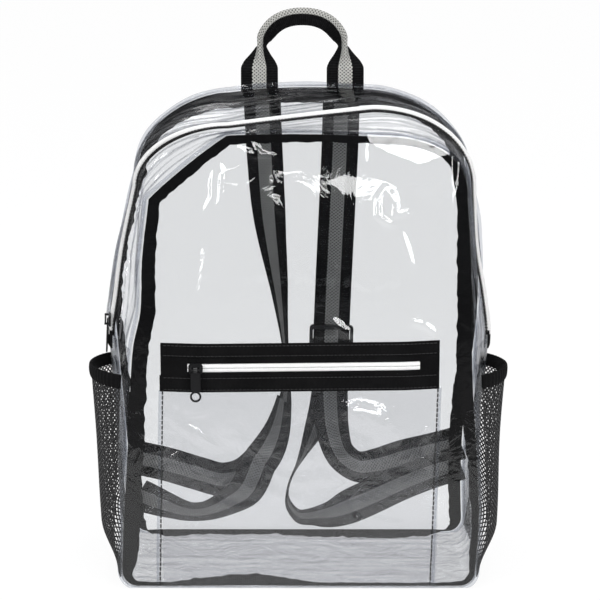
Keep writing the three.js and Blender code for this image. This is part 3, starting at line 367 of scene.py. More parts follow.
class Graph:
    """The node tree of a material or a world, emptied, and the kinds of node that it gets."""

    def __init__(self, owner):
        owner.use_nodes = True
        self.tree = owner.node_tree
        self.tree.nodes.clear()

    def node(self, kind, inputs=(), **settings):
        """Adds a node and gives its outputs. Each input is another node's output, a colour or a value."""
        made = self.tree.nodes.new("ShaderNode" + kind)
        for key, value in settings.items():
            setattr(made, key, value)
        for key, value in dict(inputs).items():
            socket = made.inputs[key]
            if isinstance(value, bpy.types.NodeSocket):
                self.tree.links.new(value, socket)
            else:
                socket.default_value = (*value, 1.0) if socket.type == "RGBA" else value
        return made.outputs

    def math(self, operation, *values, clamp=False):
        return self.node("Math", enumerate(values), operation=operation, use_clamp=clamp)[0]

    def line(self, value, gain, offset, clamp=True):
        return self.math("MULTIPLY_ADD", value, gain, offset, clamp=clamp)

    def times(self, a, b):
        return self.math("MULTIPLY", a, b)

    def wave(self, value, pitch):
        return self.math("SINE", self.times(value, 2 * math.pi / pitch))

    def mix(self, factor, a, b):
        return self.node("Mix", {0: factor, 6: a, 7: b}, data_type="RGBA")[2]

    def coords(self, kind="Object"):
        return self.node("TexCoord")[kind]

    def split(self, vector):
        return self.node("SeparateXYZ", {0: vector})

    def noise(self, vector, scale, detail, rough=0.5, distortion=0.0):
        names = ("Vector", "Scale", "Detail", "Roughness", "Distortion")
        return self.node("TexNoise", zip(names, (vector, scale, detail, rough, distortion)))["Fac"]

    def bump(self, height, strength, distance):
        return self.node("Bump", {"Strength": strength, "Distance": distance, "Height": height})["Normal"]

    def blend(self, factor, a, b):
        return self.node("MixShader", {0: factor, 1: a, 2: b})[0]

    def finish(self, surface, kind="Material"):
        self.node("Output" + kind, {"Surface": surface})

    def coat(self, color, normal, values):
        self.finish(self.node("BsdfPrincipled", {"Base Color": color, "Normal": normal, **values})[0])


def pvc_material(name, tint, edge, bump, crinkle, roughness=0.045, stretch=(1, 1, 1), slant=0.7):
    """Clear sheet: light goes straight through, less of it at a slant, and the rest is mirrored. At a slant the
    see-through colour turns to the edge colour: painted shade in place of the dark streaks that refraction makes.
    """
    material = bpy.data.materials.new(name)
    g = Graph(material)
    space = g.node("Mapping", {"Vector": g.coords(), "Scale": stretch})[0]
    soft = g.noise(space, 22, 2, 0.5, 0.6)
    fine = g.noise(space, crinkle, 3, 0.55, 1.2)
    valley = g.math("MULTIPLY", g.math("ABSOLUTE", g.math("SUBTRACT", fine, 0.5)), 6.0, clamp=True)
    ridge = g.math("POWER", g.math("SUBTRACT", 1.0, valley), 3.0)
    normal = g.bump(g.math("ADD", g.times(soft, 1.6), g.times(ridge, 0.22)), bump, 0.004)
    facing = g.node("LayerWeight", {"Blend": 0.5, "Normal": normal})["Facing"]
    steep = g.math("POWER", facing, 5.0)
    # Painted shade: at a slant the see-through colour darkens to the edge colour, standing in for refraction's
    # dark streaks
    see = g.node("BsdfTransparent", {"Color": g.mix(steep, tint, edge)})[0]
    gloss = g.node("BsdfGlossy", {"Color": WHITE, "Roughness": roughness, "Normal": normal})[0]
    g.finish(g.blend(g.line(steep, slant, 0.038), see, gloss))
    return material


def tape_material(name, rib):
    """Matt black woven tape with fine ribs."""
    material = bpy.data.materials.new(name)
    g = Graph(material)
    uv = g.split(g.node("UVMap")[0])
    ribs = g.wave(uv[0], rib / UV_UNIT)
    weave = g.times(ribs, g.wave(uv[1], 1.9 / UV_UNIT))
    grain = g.noise(g.coords(), 420, 3, 0.6)
    wide = g.noise(g.coords(), 38, 2)
    uneven = g.line(grain, 0.5, g.line(wide, 0.9, -0.35, clamp=False), clamp=False)
    color = g.mix(g.line(weave, 0.09, uneven), (0.003, 0.003, 0.0033), (0.0115, 0.0115, 0.012))
    g.coat(color, g.bump(g.math("ADD", g.times(ribs, 0.5), g.times(grain, 0.8)), 0.18, 0.0005), WOVEN)
    return material


def webbing_material(name, stripe):
    """Black ribbed webbing with a light stripe of small dark picks along its middle."""
    material = bpy.data.materials.new(name)
    g = Graph(material)
    uv = g.split(g.node("UVMap")[0])
    u, v = (g.times(uv[i], UV_UNIT) for i in (0, 1))
    rows = g.wave(u, 2.9)
    inside = g.math("LESS_THAN", g.math("ABSOLUTE", v), g.line(rows, 0.3, 6.1, clamp=False))
    speck = g.line(g.times(rows, g.wave(v, 3.4)), 2.3, 0.0)
    ribs = g.wave(u, 2.1)
    grain = g.noise(g.coords(), 500, 2, 0.6)
    tone = g.line(ribs, 0.22, g.line(grain, 0.9, -0.15, clamp=False))
    dark = g.mix(tone, (0.002, 0.002, 0.0022), (0.013, 0.013, 0.014))
    light = g.mix(grain, tuple(0.72 * c for c in stripe), stripe)
    grey = g.mix(g.times(speck, 0.8), light, (0.03, 0.03, 0.031))
    height = g.math("SUBTRACT", g.times(ribs, 0.35), g.times(g.times(speck, inside), 0.8))
    g.coat(g.mix(inside, dark, grey), g.bump(height, 0.45, 0.0005), WOVEN)
    return material


def plain_material(name, color, dark, roughness, scale, bump=0.15):
    """A plain stuff whose colour and surface vary with a fine grain."""
    material = bpy.data.materials.new(name)
    g = Graph(material)
    grain = g.noise(g.coords(), scale, 3, 0.55)
    g.coat(g.mix(grain, dark, color), g.bump(grain, bump, 0.0004), {"Roughness": roughness})
    return material


CLEAR = (0.952, 0.956, 0.960)
# The edge colours are painted shade: the see-through colours that the clear sheets darken to at a slant
CLEAR_SLANT_SHADE = (0.42, 0.44, 0.47)
SIDE_SLANT_SHADE = (0.4, 0.42, 0.45)
PVC_FRONT = pvc_material("pvc_front", CLEAR, CLEAR_SLANT_SHADE, 0.12, 34)
PVC_POCKET = pvc_material("pvc_pocket", (0.935, 0.936, 0.944), CLEAR_SLANT_SHADE, 0.16, 34)
PVC_BACK = pvc_material("pvc_back", CLEAR, CLEAR_SLANT_SHADE, 0.16, 28)
SIDE_TINT, SIDE_STRETCH = (0.965, 0.967, 0.975), (1, 2.0, 0.6)
PVC_SIDE = pvc_material("pvc_side", SIDE_TINT, SIDE_SLANT_SHADE, 0.16, 30, stretch=SIDE_STRETCH, slant=0.32)
PVC_EDGE = pvc_material("pvc_edge", (0.86, 0.87, 0.89), (0.5, 0.52, 0.55), 0.3, 40, roughness=0.15, slant=0.5)
PVC_BASE = pvc_material("pvc_base", (0.895, 0.896, 0.905), SIDE_SLANT_SHADE, 0.34, 42, slant=0.45)
TAPE = tape_material("tape", 1.7)
TAPE_BAND = tape_material("tape_band", 2.1)
# The same webbing twice: the straps' copy has its stripe darkened as painted shade, for straps that sit behind
# the bag; the handle's copy keeps the stripe's own light colour
SHADED_STRAP_WEBBING = webbing_material("webbing", (0.3, 0.3, 0.29))
HANDLE_WEBBING = webbing_material("webbing_handle", (0.56, 0.56, 0.53))
NET = plain_material("net", (0.02, 0.02, 0.021), (0.008, 0.008, 0.008), 0.6, 600)
THREAD = plain_material("thread", (0.03, 0.03, 0.032), (0.01, 0.01, 0.01), 0.6, 600)
COIL = plain_material("coil", (0.92, 0.92, 0.91), (0.8, 0.8, 0.8), 0.4, 350)
COIL_GAP = plain_material("coil_gap", (0.26, 0.26, 0.26), (0.2, 0.2, 0.2), 0.6, 350)
HARD = plain_material("hardware", (0.012, 0.012, 0.013), (0.006, 0.006, 0.007), 0.28, 180, 0.08)

# Clear gusset: seam allowance, the tapes' outer edges, and how strongly each section ripples
SEAM = 1.2
TAPE_FRONT = ZIP_FROM_FRONT - COIL_WIDTH / 2 - GAP - TAPE_SHOWN
TAPE_BACK = ZIP_FROM_FRONT + COIL_WIDTH / 2 + GAP + TAPE_SHOWN
UPPER = dict(upper=2.2, shoulder=2.0, top=1.0)
LOWER = dict(lower=1.3, corner=0.5, bottom=0.6)
FLOOR_GAP = 0.1


def long_creases(s, mm, seed, count):
    """Narrow creases that wander along the gusset, from its seeded numbers."""
    rng = np.random.default_rng(seed)
    out = np.zeros((len(s), len(mm)))
    for _ in range(count):
        start, length = rng.uniform(-0.1, 0.9) * s[-1], rng.uniform(70, 230)
        across = rng.uniform(mm[0] + 3, mm[-1] - 3)
        drift, phase = rng.uniform(-0.05, 0.05), rng.uniform(0, 6)
        height, width = rng.uniform(0.5, 1.1), rng.uniform(0.9, 1.9)
        line = across + drift * (s - start) + 1.6 * np.sin((s - start) / 34 + phase)
        inside = np.sin(np.pi * np.clip((s - start) / length, 0, 1)) ** 0.6
        out += height * inside[:, None] * np.exp(-(((mm[None] - line[:, None]) / width) ** 2))
    return out


def gusset_sheet(name, run, low, high, cols, strength, seed, folds, material, replaces):
    mm = np.linspace(low, high, cols + 1)
    grid = gusset_points(run, mm / DEPTH)
    s = arc_lengths(grid[:, cols // 2])
    places = np.stack(np.meshgrid(s, mm, [0.0], indexing="ij"), axis=-1).reshape(-1, 3)
    streak = noise_field(places, (95, 17, 1), seed) + 0.5 * noise_field(places, (40, 30, 1), seed + 3, 1)
    crease = np.clip(1 - 3 * np.abs(noise_field(places, (60, 24, 1), seed + 7, 1)), 0, 1)
    wave = (streak + 0.45 * crease).reshape(grid.shape[:2]) + long_creases(s, mm, seed, folds)
    t = np.linspace(0, 1, cols + 1)
    held = smooth(np.minimum(t, 1 - t) / 0.12)
    amount = np.pad([strength[station[0]] for station in run], 4, mode="edge")
    amount = np.convolve(amount, np.ones(9) / 9, mode="valid")
    grid = grid - grid_normals(grid) * (wave * held[None] * amount[:, None])[..., None]
    grid[..., 2] = np.maximum(grid[..., 2], FLOOR_GAP)
    lifted_sheet(name, grid, 0, -SHEET, material, replaces)


FRONT_BAND, BACK_BAND = (SEAM, TAPE_FRONT - 0.2), (TAPE_BACK + 0.2, DEPTH - SEAM)
gusset_sheet("gusset_zip_front", zip_run(), *FRONT_BAND, 44, UPPER, 1, 34, PVC_SIDE, ["zip_gusset_front"])
gusset_sheet("gusset_zip_back", zip_run(), *BACK_BAND, 72, UPPER, 5, 40, PVC_SIDE, ["zip_gusset_back"])
gusset_sheet("gusset_base", base_run(), SEAM, DEPTH - SEAM, 60, LOWER, 9, 26, PVC_BASE, ["base_gusset"])

# Front and back panels. The view's pixels give places on the front: its middle, its floor and the scale there
LOOPS = {line: np.array([line_point(line, s) for s in outline_run()]) for line in ("front", "back")}
VIEW_MIDDLE, VIEW_FLOOR = 300, 588
MM_ACROSS, MM_UP, WIDENING = 0.86, 0.895, 0.00001
PANEL_MARGIN, PANEL_BELLY = 15.4, 5.0
FRONT_CREASES = [  # pixels along the crease, height, width
    ([(222, 167), (226, 182), (224, 208), (212, 224)], 1.9, 2.8),
    ([(221, 168), (217, 190), (217, 204), (208, 220)], 1.6, 2.6),
    ([(218, 149), (234, 156), (249, 162), (262, 168)], 1.6, 2.8),
    ([(380, 194), (374, 206), (374, 221), (382, 227), (394, 230)], 2.2, 2.8),
    ([(384, 196), (391, 210), (390, 221), (406, 217)], 1.8, 2.6),
    ([(394, 232), (401, 250), (407, 270)], 1.4, 2.8),
    ([(429, 204), (438, 208)], 1.7, 3.0),
    ([(208, 239), (211, 262), (206, 290), (198, 320)], 0.9, 3.4),
    ([(330, 318), (341, 330), (352, 334)], 1.6, 3.4),
    ([(404, 322), (420, 326), (432, 336)], 1.4, 3.2),
    ([(258, 136), (250, 146), (262, 164), (282, 168)], 1.7, 2.8),
    ([(275, 206), (284, 220)], 1.6, 2.6),
]
BULGES = [  # pixel across and down, width, height, how proud it stands
    (258, 158, 12, 13, 3.2),
    (340, 330, 14, 9, 1.4),
]
# A flat facet below the top right corner leans back: its foot as x and z, its top and its slope
FACET_FOOT = [(50.0, 393.0), (56.0, 389.0), (74.0, 380.0), (98.0, 371.0), (122.0, 379.0), (132.0, 386.0)]
FACET_TOP = 396.0
FACET_SLOPE = 0.215


def from_view(px, py):
    """x and z on the front panel's plane of a pixel of the view."""
    up = VIEW_FLOOR - py
    return (px - VIEW_MIDDLE) * (MM_ACROSS + up * WIDENING), up * MM_UP


def loop_distance(line, x, z):
    """Distance of each point to a panel's outline."""
    loop = LOOPS[line]
    points = np.stack([np.ravel(x), np.ravel(z)], axis=1)
    run = np.roll(loop, -1, axis=0) - loop
    length = (run**2).sum(axis=1)
    best = []
    for block in np.array_split(points, len(points) // 4000 + 1):
        t = np.clip(((block[:, None] - loop) * run).sum(axis=2) / length, 0, 1)
        near = loop + run * t[..., None]
        best.append(np.sqrt(((block[:, None] - near) ** 2).sum(axis=2)).min(axis=1))
    return np.concatenate(best).reshape(np.shape(x))


def front_face(x, z):
    """y of the front panel's outer face, as in the solids."""
    return -HALF_DEPTH - PANEL_BELLY * smooth((loop_distance("front", x, z) - PANEL_MARGIN) / 50)


def crease_field(x, z, creases):
    """Sum of soft ridges along lines of the view's pixels."""
    out = np.zeros_like(x)
    flat = np.stack([x.ravel(), z.ravel()], axis=1)
    for pixels, height, width in creases:
        points = np.array([from_view(*p) for p in pixels])
        best = np.full(len(flat), 1e9)
        along = np.zeros(len(flat))
        total = arc_lengths(points)
        for i in range(len(points) - 1):
            a, run = points[i], points[i + 1] - points[i]
            t = np.clip(((flat - a) @ run) / (run @ run), 0, 1)
            d = np.linalg.norm(flat - a - t[:, None] * run, axis=1)
            near = d < best
            best[near] = d[near]
            along[near] = (total[i] + t[near] * (total[i + 1] - total[i])) / total[-1]
        ends = np.sin(np.pi * np.clip(along, 0.02, 0.98)) ** 0.5
        out += (height * ends * np.exp(-((best / width) ** 2))).reshape(x.shape)
    return out


def panel_grid(line, cols, **counts):
    """x and z over a panel, rows up its sides."""
    runs = (side_run(SIDE_SECTIONS, counts, side) for side in (1, -1))
    right, left = (np.array([line_point(line, station) for station in run]) for run in runs)
    t = np.linspace(0, 1, cols + 1)
    share = np.linspace(0, 1, len(right))[:, None]
    x, z = (left[:, k : k + 1] + (right[:, k : k + 1] - left[:, k : k + 1]) * t for k in (0, 1))
    crown = np.array([line_point(line, ("top", 1, 1 - v))[1] for v in t])
    return x, z + share**4 * (crown - z[-1])


def front_sheet():
    x, z = panel_grid("front", 178, corner=10, lower=104, upper=72, shoulder=64)
    margin = smooth((loop_distance("front", x, z) - 3) / 22)
    soft = plane_noise(x, z, 120, 90, 21)
    small = plane_noise(x, z, 38, 46, 22)
    above = smooth((z - 226) / 12)
    proud = (1.6 * soft + 0.6 * small) * (0.35 + 0.65 * above) + crease_field(x, z, FRONT_CREASES)
    for px, py, wide, high, rise in BULGES:
        cx, cz = from_view(px, py)
        proud = proud + rise * np.exp(-(((x - cx) / wide) ** 2) - ((z - cz) / high) ** 2)
    y = front_face(x, z) - margin * proud
    across, foot = np.array(FACET_FOOT).T
    low = np.interp(x, across, foot)
    rise = FACET_SLOPE * np.clip(FACET_TOP - np.maximum(z, low), 0, None) * smooth((z - low + 60) / 60)
    window = smooth((x - across[0]) / 8) * smooth((across[-1] - x) / 8)
    y = np.minimum(y, y * (1 - window) + window * (-HALF_DEPTH - GAP - rise - 0.25 * small))
    clear_sheet("front_sheet", x, y, z, SHEET, PVC_FRONT, ["front_panel"])


def back_sheet():
    x, z = panel_grid("back", 70, corner=6, lower=46, upper=30, shoulder=34)
    margin = smooth((loop_distance("back", x, z) - 3) / 25)
    y = HALF_DEPTH - margin * (0.9 + 0.9 * plane_noise(x, z, 110, 80, 31))
    clear_sheet("back_sheet", x, y, z, -SHEET, PVC_BACK, ["back_panel"])


front_sheet()
back_sheet()

# Bindings inside the seams: each table's rows are (t, share of the width) or (t, lean in degrees)
FRONT_SHARES = {
    ("bottom", 0): [(0, 0.34), (0.08, 0.3), (0.16, 0.62), (0.26, 0.72), (0.36, 0.86), (0.46, 0.62), (0.54, 0.28)],
    ("corner", -1): [(0, 0.34), (1, 0.9)],
    ("corner", 1): [(0, 0.34), (1, 0.6)],
    ("lower", -1): [(0, 0.9), (0.1, 1.05), (0.5, 1.02), (1, 1.05)],
    ("lower", 1): [(0, 0.6), (0.2, 0.56), (0.5, 0.62), (0.78, 0.98)],
    ("upper", -1): [(0, 1.05), (0.6, 0.84), (1, 0.72)],
    ("upper", 1): [(0, 0.98), (0.7, 0.85), (1, 0.7)],
    ("shoulder", -1): [(0, 0.68), (0.5, 0.7), (1, 0.66)],
    ("shoulder", 1): [(0, 0.7), (0.5, 0.42), (1, 0.52)],
    ("top", 0): [(0, 0.52), (0.7, 0.62), (1, 0.72)],
}
FRONT_LEAN = {
    ("bottom", 0): [(0, 76), (0.12, 80), (0.2, 62), (0.36, 38), (0.46, 60), (0.6, 80), (0.85, 80), (1, 70)],
    ("corner", -1): [(0, 70), (1, 30)],
    ("corner", 1): [(0, 70), (1, 60)],
    ("lower", -1): [(0, 26), (0.2, 6), (1, 4)],
    ("lower", 1): [(0, 60), (0.25, 40), (0.6, 30), (1, 14)],
    ("upper", 0): [(0, 8), (1, 12)],
    ("shoulder", -1): [(0, 10), (1, 20)],
    ("shoulder", 1): [(0, 20), (1, 24)],
    ("top", 0): [(0, 24)],
}
# At the bottom the back binding runs wider than its tape and lies flat on the base sheet: part of that dark width
# is painted shade beside the binding
BACK_SHARES = {
    ("bottom", 0): [(0, 1.25), (0.08, 1.15), (0.16, 0.65), (0.44, 0.6), (0.54, 1.05), (1, 1.1)],
    ("corner", 0): [(0, 1.0), (1, 0.9)],
    ("lower", 0): [(0, 0.9), (1, 1.0)],
    ("upper", 0): [(0, 1)],
    ("shoulder", 0): [(0, 1), (0.3, 0.8), (0.7, 1.05), (1, 1.08)],
    ("top", 0): [(0, 1.08)],
}
BACK_LEAN = {
    ("bottom", 0): [(0, 94), (0.3, 98), (0.55, 98), (0.8, 102), (0.92, 104), (1, 60)],
    ("corner", 0): [(0, 50), (1, 20)],
    ("lower", -1): [(0, 40), (1, 62)],
    ("lower", 1): [(0, 24), (0.4, 12), (1, 6)],
    ("upper", -1): [(0, 62), (1, 66)],
    ("upper", 1): [(0, 6), (1, 10)],
    ("shoulder", -1): [(0, 50), (1, 8)],
    ("shoulder", 1): [(0, 8), (1, 4)],
    ("top", 0): [(0, 4)],
}
BINDING_COLUMNS = 5
BINDING_INSET = 1.5
BINDING_RAISED = {("front", "bottom"): 2.3, ("back", "bottom"): 3.4}
LIP_INNER, LIP_REACH, LIP_THICKNESS = -1.2, 2.2, 1.2


def ring_smooth(values, times):
    """Softens values that run round a closed loop."""
    for _ in range(times):
        values = (np.roll(values, 1, axis=0) + values * 2 + np.roll(values, -1, axis=0)) / 4
    return values


def seam(line, times):
    """A panel's outline, the unit normals that point into it, and the lengths along it."""
    loop = LOOPS[line]
    tangent = ring_smooth(np.roll(loop, -1, axis=0) - np.roll(loop, 1, axis=0), times)
    normal = np.stack([-tangent[:, 1], tangent[:, 0]], axis=1)
    normal /= np.linalg.norm(normal, axis=1, keepdims=True)
    return loop, normal, arc_lengths(np.vstack([loop, loop[:1]]))


def read_table(table, times):
    """A table's values at each station of the outline, softened."""
    rows = ((t, table.get((section, side)) or table[section, 0]) for section, side, t in outline_run())
    return ring_smooth(np.array([np.interp(t, *np.array(row, float).T) for t, row in rows]), times)


def binding(name, line, leans, shares, width, seed, replaces):
    loop, normal, s = seam(line, 6)
    inward = np.array([0, 1 if line == "front" else -1, 0])
    angle = 2 * math.pi * s[:-1] / s[-1]
    reach = s[-1] / 44
    ring = np.stack([np.cos(angle) * reach, np.sin(angle) * reach, np.full(len(loop), seed)], axis=1)
    ripple = noise_field(ring, 1, seed + 5)[:, None]
    widths = width * read_table(shares, 12) * (1 + 0.12 * noise_field(ring, 1, seed, 1))
    raised = np.array([BINDING_RAISED.get((line, station[0]), 2.3) for station in outline_run()])
    lean = np.radians(read_table(leans, 30)[:, None] + 11 * ripple)
    level = np.insert(normal, 1, 0, axis=1)
    across = level * np.cos(lean) + inward * np.sin(lean)
    face = inward * np.cos(lean) - level * np.sin(lean)
    base = np.insert(loop, 1, 0, axis=1) + ring_smooth(raised, 12)[:, None] * level
    base[:, 1] = -inward[1] * (HALF_DEPTH - BINDING_INSET)
    curl = np.linspace(0, 1, BINDING_COLUMNS + 1)
    outer = base[:, None] + across[:, None] * (widths[:, None] * curl)[..., None]
    outer = outer + face[:, None] * (0.8 * np.sin(np.pi * curl) * ripple)[..., None]
    uv = pairs(s[:-1], width * curl)
    make_sheet(name, outer, outer + face[:, None], uv, TAPE, replaces, ring=True)


def seam_lip(name, line, y):
    """The clear edge that stands outside a seam."""
    loop, normal, s = seam(line, 4)
    s = s[:-1]
    wave = 0.35 * np.sin(s / 21) + 0.25 * np.sin(s / 8.3 + 1)
    spots = np.linspace(LIP_INNER, LIP_REACH, 4)
    columns = []
    for d in spots:
        x, z = (loop - normal * (d + (wave * (d > 0))[:, None])).T
        columns.append(np.stack([x, y + 0.5 * wave * max(d, 0) / LIP_REACH, np.maximum(z, 0.15)], axis=1))
    grid = np.stack(columns, axis=1)
    half = np.array([0, LIP_THICKNESS / 2, 0])
    make_sheet(name, grid - half, grid + half, pairs(s, spots), PVC_EDGE, ring=True)


binding("binding_front", "front", FRONT_LEAN, FRONT_SHARES, 13.0, 41, ["front_binding"])
binding("binding_back", "back", BACK_LEAN, BACK_SHARES, 12.5, 47, ["back_binding"])
seam_lip("lip_front", "front", LIP_THICKNESS / 2 - HALF_DEPTH)
seam_lip("lip_back", "back", HALF_DEPTH - LIP_THICKNESS / 2)

# Main zip: its tapes, coil and end stops
TAPE_LIFT, TAPE_THICKNESS = 0.1, 0.9
COIL_HALF = 2.2
COIL_RISE, COIL_RIB, COIL_COLUMNS = 3.0, 0.16, 6
STOP_WIDTH, STOP_LENGTH, STOP_LIFT, STOP_THICKNESS, STOP_CELLS = 15.4, 14, 1.1, 1.2, 10


def zip_tape(label, low, high):
    grid = gusset_points(zip_run(FINE_ZIP), np.linspace(low, high, 5) / DEPTH)
    lifted_sheet("zip_tape_" + label, grid, TAPE_LIFT, TAPE_LIFT - TAPE_THICKNESS, TAPE,
                 ["main_zip_tape_" + label])


def zip_coil():
    """The coil: a half-round band with a rib for each turn."""
    run = zip_run(COIL_TURNS)
    across = np.linspace(-1, 1, COIL_COLUMNS + 1)
    grid = gusset_points(run, (ZIP_FROM_FRONT + COIL_WIDTH / 2 * across) / DEPTH)
    dome = COIL_RISE * np.sqrt(np.clip(1 - across**2, 0, 1))
    ribs = COIL_RIB * np.cos(np.pi * np.arange(len(run)))[:, None]
    lifted_sheet("zip_coil", grid, TAPE_LIFT + dome + ribs, -1.2, COIL, ["main_zip_coil"], sharp=80)


def zip_stop(side, label):
    shares = np.arange(STOP_CELLS + 1) / STOP_CELLS
    places = [(ZIP_FROM_FRONT + STOP_WIDTH * (share - 0.5)) / DEPTH for share in shares]
    heights = [ZIP_END_HEIGHT + STOP_LENGTH * (share - 0.75) for share in shares]
    grid = np.array([[side_point(side, z, place) for place in places] for z in heights])
    lifted_sheet("zip_stop_" + label, grid, STOP_LIFT + STOP_THICKNESS, STOP_LIFT, TAPE,
                 ["zip_end_" + label])


zip_tape("front", TAPE_FRONT, ZIP_FROM_FRONT - COIL_HALF)
zip_tape("back", ZIP_FROM_FRONT + COIL_HALF, TAPE_BACK)
zip_coil()
zip_stop(-1, "left")
zip_stop(1, "right")

# Front pocket: feet of its bands above the floor, which rise to the right with the tilt
POCKET_LEFT, POCKET_RIGHT = -116.5, 116.5
POCKET_TILT = 0.011
TOP_Z, TOP_FOOT, ZIP_FOOT, LOW_FOOT = 220.0, 207.4, 192.4, 178.0
COIL_MIDDLE = (TOP_FOOT + ZIP_FOOT) / 2 - 0.8
ZIP_LEFT, ZIP_RIGHT = POCKET_LEFT + 22.5, POCKET_RIGHT - 16.5
POCKET_STAND = 0.8
POCKET_RIBS = 260
POCKET_CREASES = [  # pixels along the crease, height, width
    ([(178, 421), (190, 428), (204, 436), (219, 445)], 1.3, 3.0),
    ([(186, 420), (200, 428), (214, 438)], 1.0, 2.6),
    ([(351, 397), (362, 408), (376, 418), (388, 428)], 3.2, 8.0),
    ([(346, 404), (356, 416), (366, 424)], 1.6, 4.5),
    ([(372, 515), (390, 519), (404, 520)], 1.0, 2.8),
    ([(352, 512), (358, 516), (362, 520)], 1.3, 2.8),
    ([(231, 563), (240, 557), (251, 552)], 0.9, 2.8),
    ([(270, 470), (300, 478), (330, 474)], 1.1, 5.0),
    ([(212, 498), (240, 506), (262, 500)], 1.0, 4.5),
]
POCKET_BANDS = [  # name, node, x from and to, z from and to, thickness, roll of its edges, columns
    ("band_low", "binding_bottom", POCKET_LEFT - 1, POCKET_RIGHT, LOW_FOOT, ZIP_FOOT - GAP, 1.6, 0.5, 60),
    ("band_top", "binding_top", POCKET_LEFT, POCKET_RIGHT, TOP_FOOT, TOP_Z, 1.6, 0.5, 60),
    ("tape_low", "zip_tape_bottom", ZIP_LEFT, ZIP_RIGHT, ZIP_FOOT, COIL_MIDDLE - 3.5, 1.0, 0, 60),
    ("tape_top", "zip_tape_top", ZIP_LEFT, ZIP_RIGHT, COIL_MIDDLE + 3.7, TOP_FOOT - GAP, 1.0, 0, 60),
    ("end_left", "zip_end_left", POCKET_LEFT, ZIP_LEFT + 0.4, ZIP_FOOT - 0.4, TOP_FOOT + 0.1, 1.6, 0.3, 12),
    ("end_right", "zip_end_right", ZIP_RIGHT - 0.4, POCKET_RIGHT, ZIP_FOOT - 0.4, TOP_FOOT + 0.1, 1.6, 0.3, 12),
]
POCKET_SEAMS = {-1: (-115.0, -119.5, 178.0), 1: (115.5, 111.0, 180.0)}  # x at the top, x at the floor, top z


def unit_grid(cols, rows):
    """u across and v up, both from 0 to 1."""
    return np.meshgrid(np.linspace(0, 1, cols + 1), np.linspace(0, 1, rows + 1))


def front_band(name, x0, x1, z0, z1, lift, thickness, material, replaces=(), cols=60, rows=6, shape=None):
    """A band on the front face. shape(u, v) adds height over the face."""
    u, v = unit_grid(cols, rows)
    x = x0 + (x1 - x0) * u
    z = z0 + (z1 - z0) * v + POCKET_TILT * x
    base = front_face(x, z) - POCKET_STAND - lift
    rise = thickness + (shape(u, v) if shape else 0)
    outer, inner = (np.stack([x, y, z], axis=-1) for y in (base - rise, base))
    make_sheet(name, outer, inner, np.stack([x, z], axis=-1), material, replaces)


def rolled(depth):
    return lambda u, v: -depth * (1 - np.clip(np.minimum(v, 1 - v) / 0.08, 0, 1)) ** 2


def coil_shape(u, v):
    ribs = 0.12 * np.cos(np.pi * np.round(u * POCKET_RIBS))
    split = -0.9 * np.exp(-(((v - 0.5) / 0.05) ** 2))
    return -1.1 * (np.abs(v - 0.5) * 2) ** 8 + ribs + split


def pocket_sheet():
    u, v = unit_grid(176, 136)
    x = POCKET_LEFT + (POCKET_RIGHT - POCKET_LEFT) * u
    z = 1.0 + (LOW_FOOT - 1.3) * v + POCKET_TILT * x * v
    edge = np.minimum(np.minimum(x - POCKET_LEFT, POCKET_RIGHT - x), np.minimum(z, LOW_FOOT - z))
    low = smooth((60 - z) / 50)
    soft = plane_noise(x, z, 90, 60, 51)
    small = plane_noise(x, z, 30, 26, 53)
    proud = 1.6 + 2.1 * soft + (0.55 + 0.6 * low) * small + crease_field(x, z, POCKET_CREASES)
    y = front_face(x, z) - 1.0 - smooth((edge - 2) / 16) * proud
    clear_sheet("pocket_sheet", x, y, z, 0.6, PVC_POCKET, ["pocket_panel"])


def pocket_edge(label, side):
    """The clear edge of the pocket sheet that stands outside a vertical seam."""
    x_top, x_foot, z_top = POCKET_SEAMS[side]
    z = np.linspace(2.5, z_top, 61)[:, None] * np.ones(4)
    out = np.linspace(0.9, 3.3, 4)[None] + 0.3 * np.sin(z / 17 + side) * np.linspace(0, 1, 4)
    x = x_top + (x_foot - x_top) * (1 - z / z_top) + side * out
    y = front_face(x, z) - 1.6 - 0.5 * np.sin(z / 23) ** 2
    clear_sheet("pocket_edge_" + label, x, y, z, SHEET, PVC_EDGE)


pocket_sheet()
for name, node, x0, x1, z0, z1, thickness, roll, cols in POCKET_BANDS:
    front_band("pocket_" + name, x0, x1, z0, z1, 0.0, thickness, TAPE_BAND, ["pocket_" + node], cols,
               shape=rolled(roll))
front_band("pocket_coil", ZIP_LEFT, ZIP_RIGHT, COIL_MIDDLE - 3.45, COIL_MIDDLE + 3.45, 0.0, 2.3, COIL,
           ["pocket_zip_coil"], POCKET_RIBS, 12, coil_shape)
front_band("pocket_coil_gap", ZIP_LEFT, ZIP_RIGHT, COIL_MIDDLE - 0.4, COIL_MIDDLE + 0.4, 1.2, 0.5, COIL_GAP,
           rows=2)
pocket_edge("left", -1)
pocket_edge("right", 1)

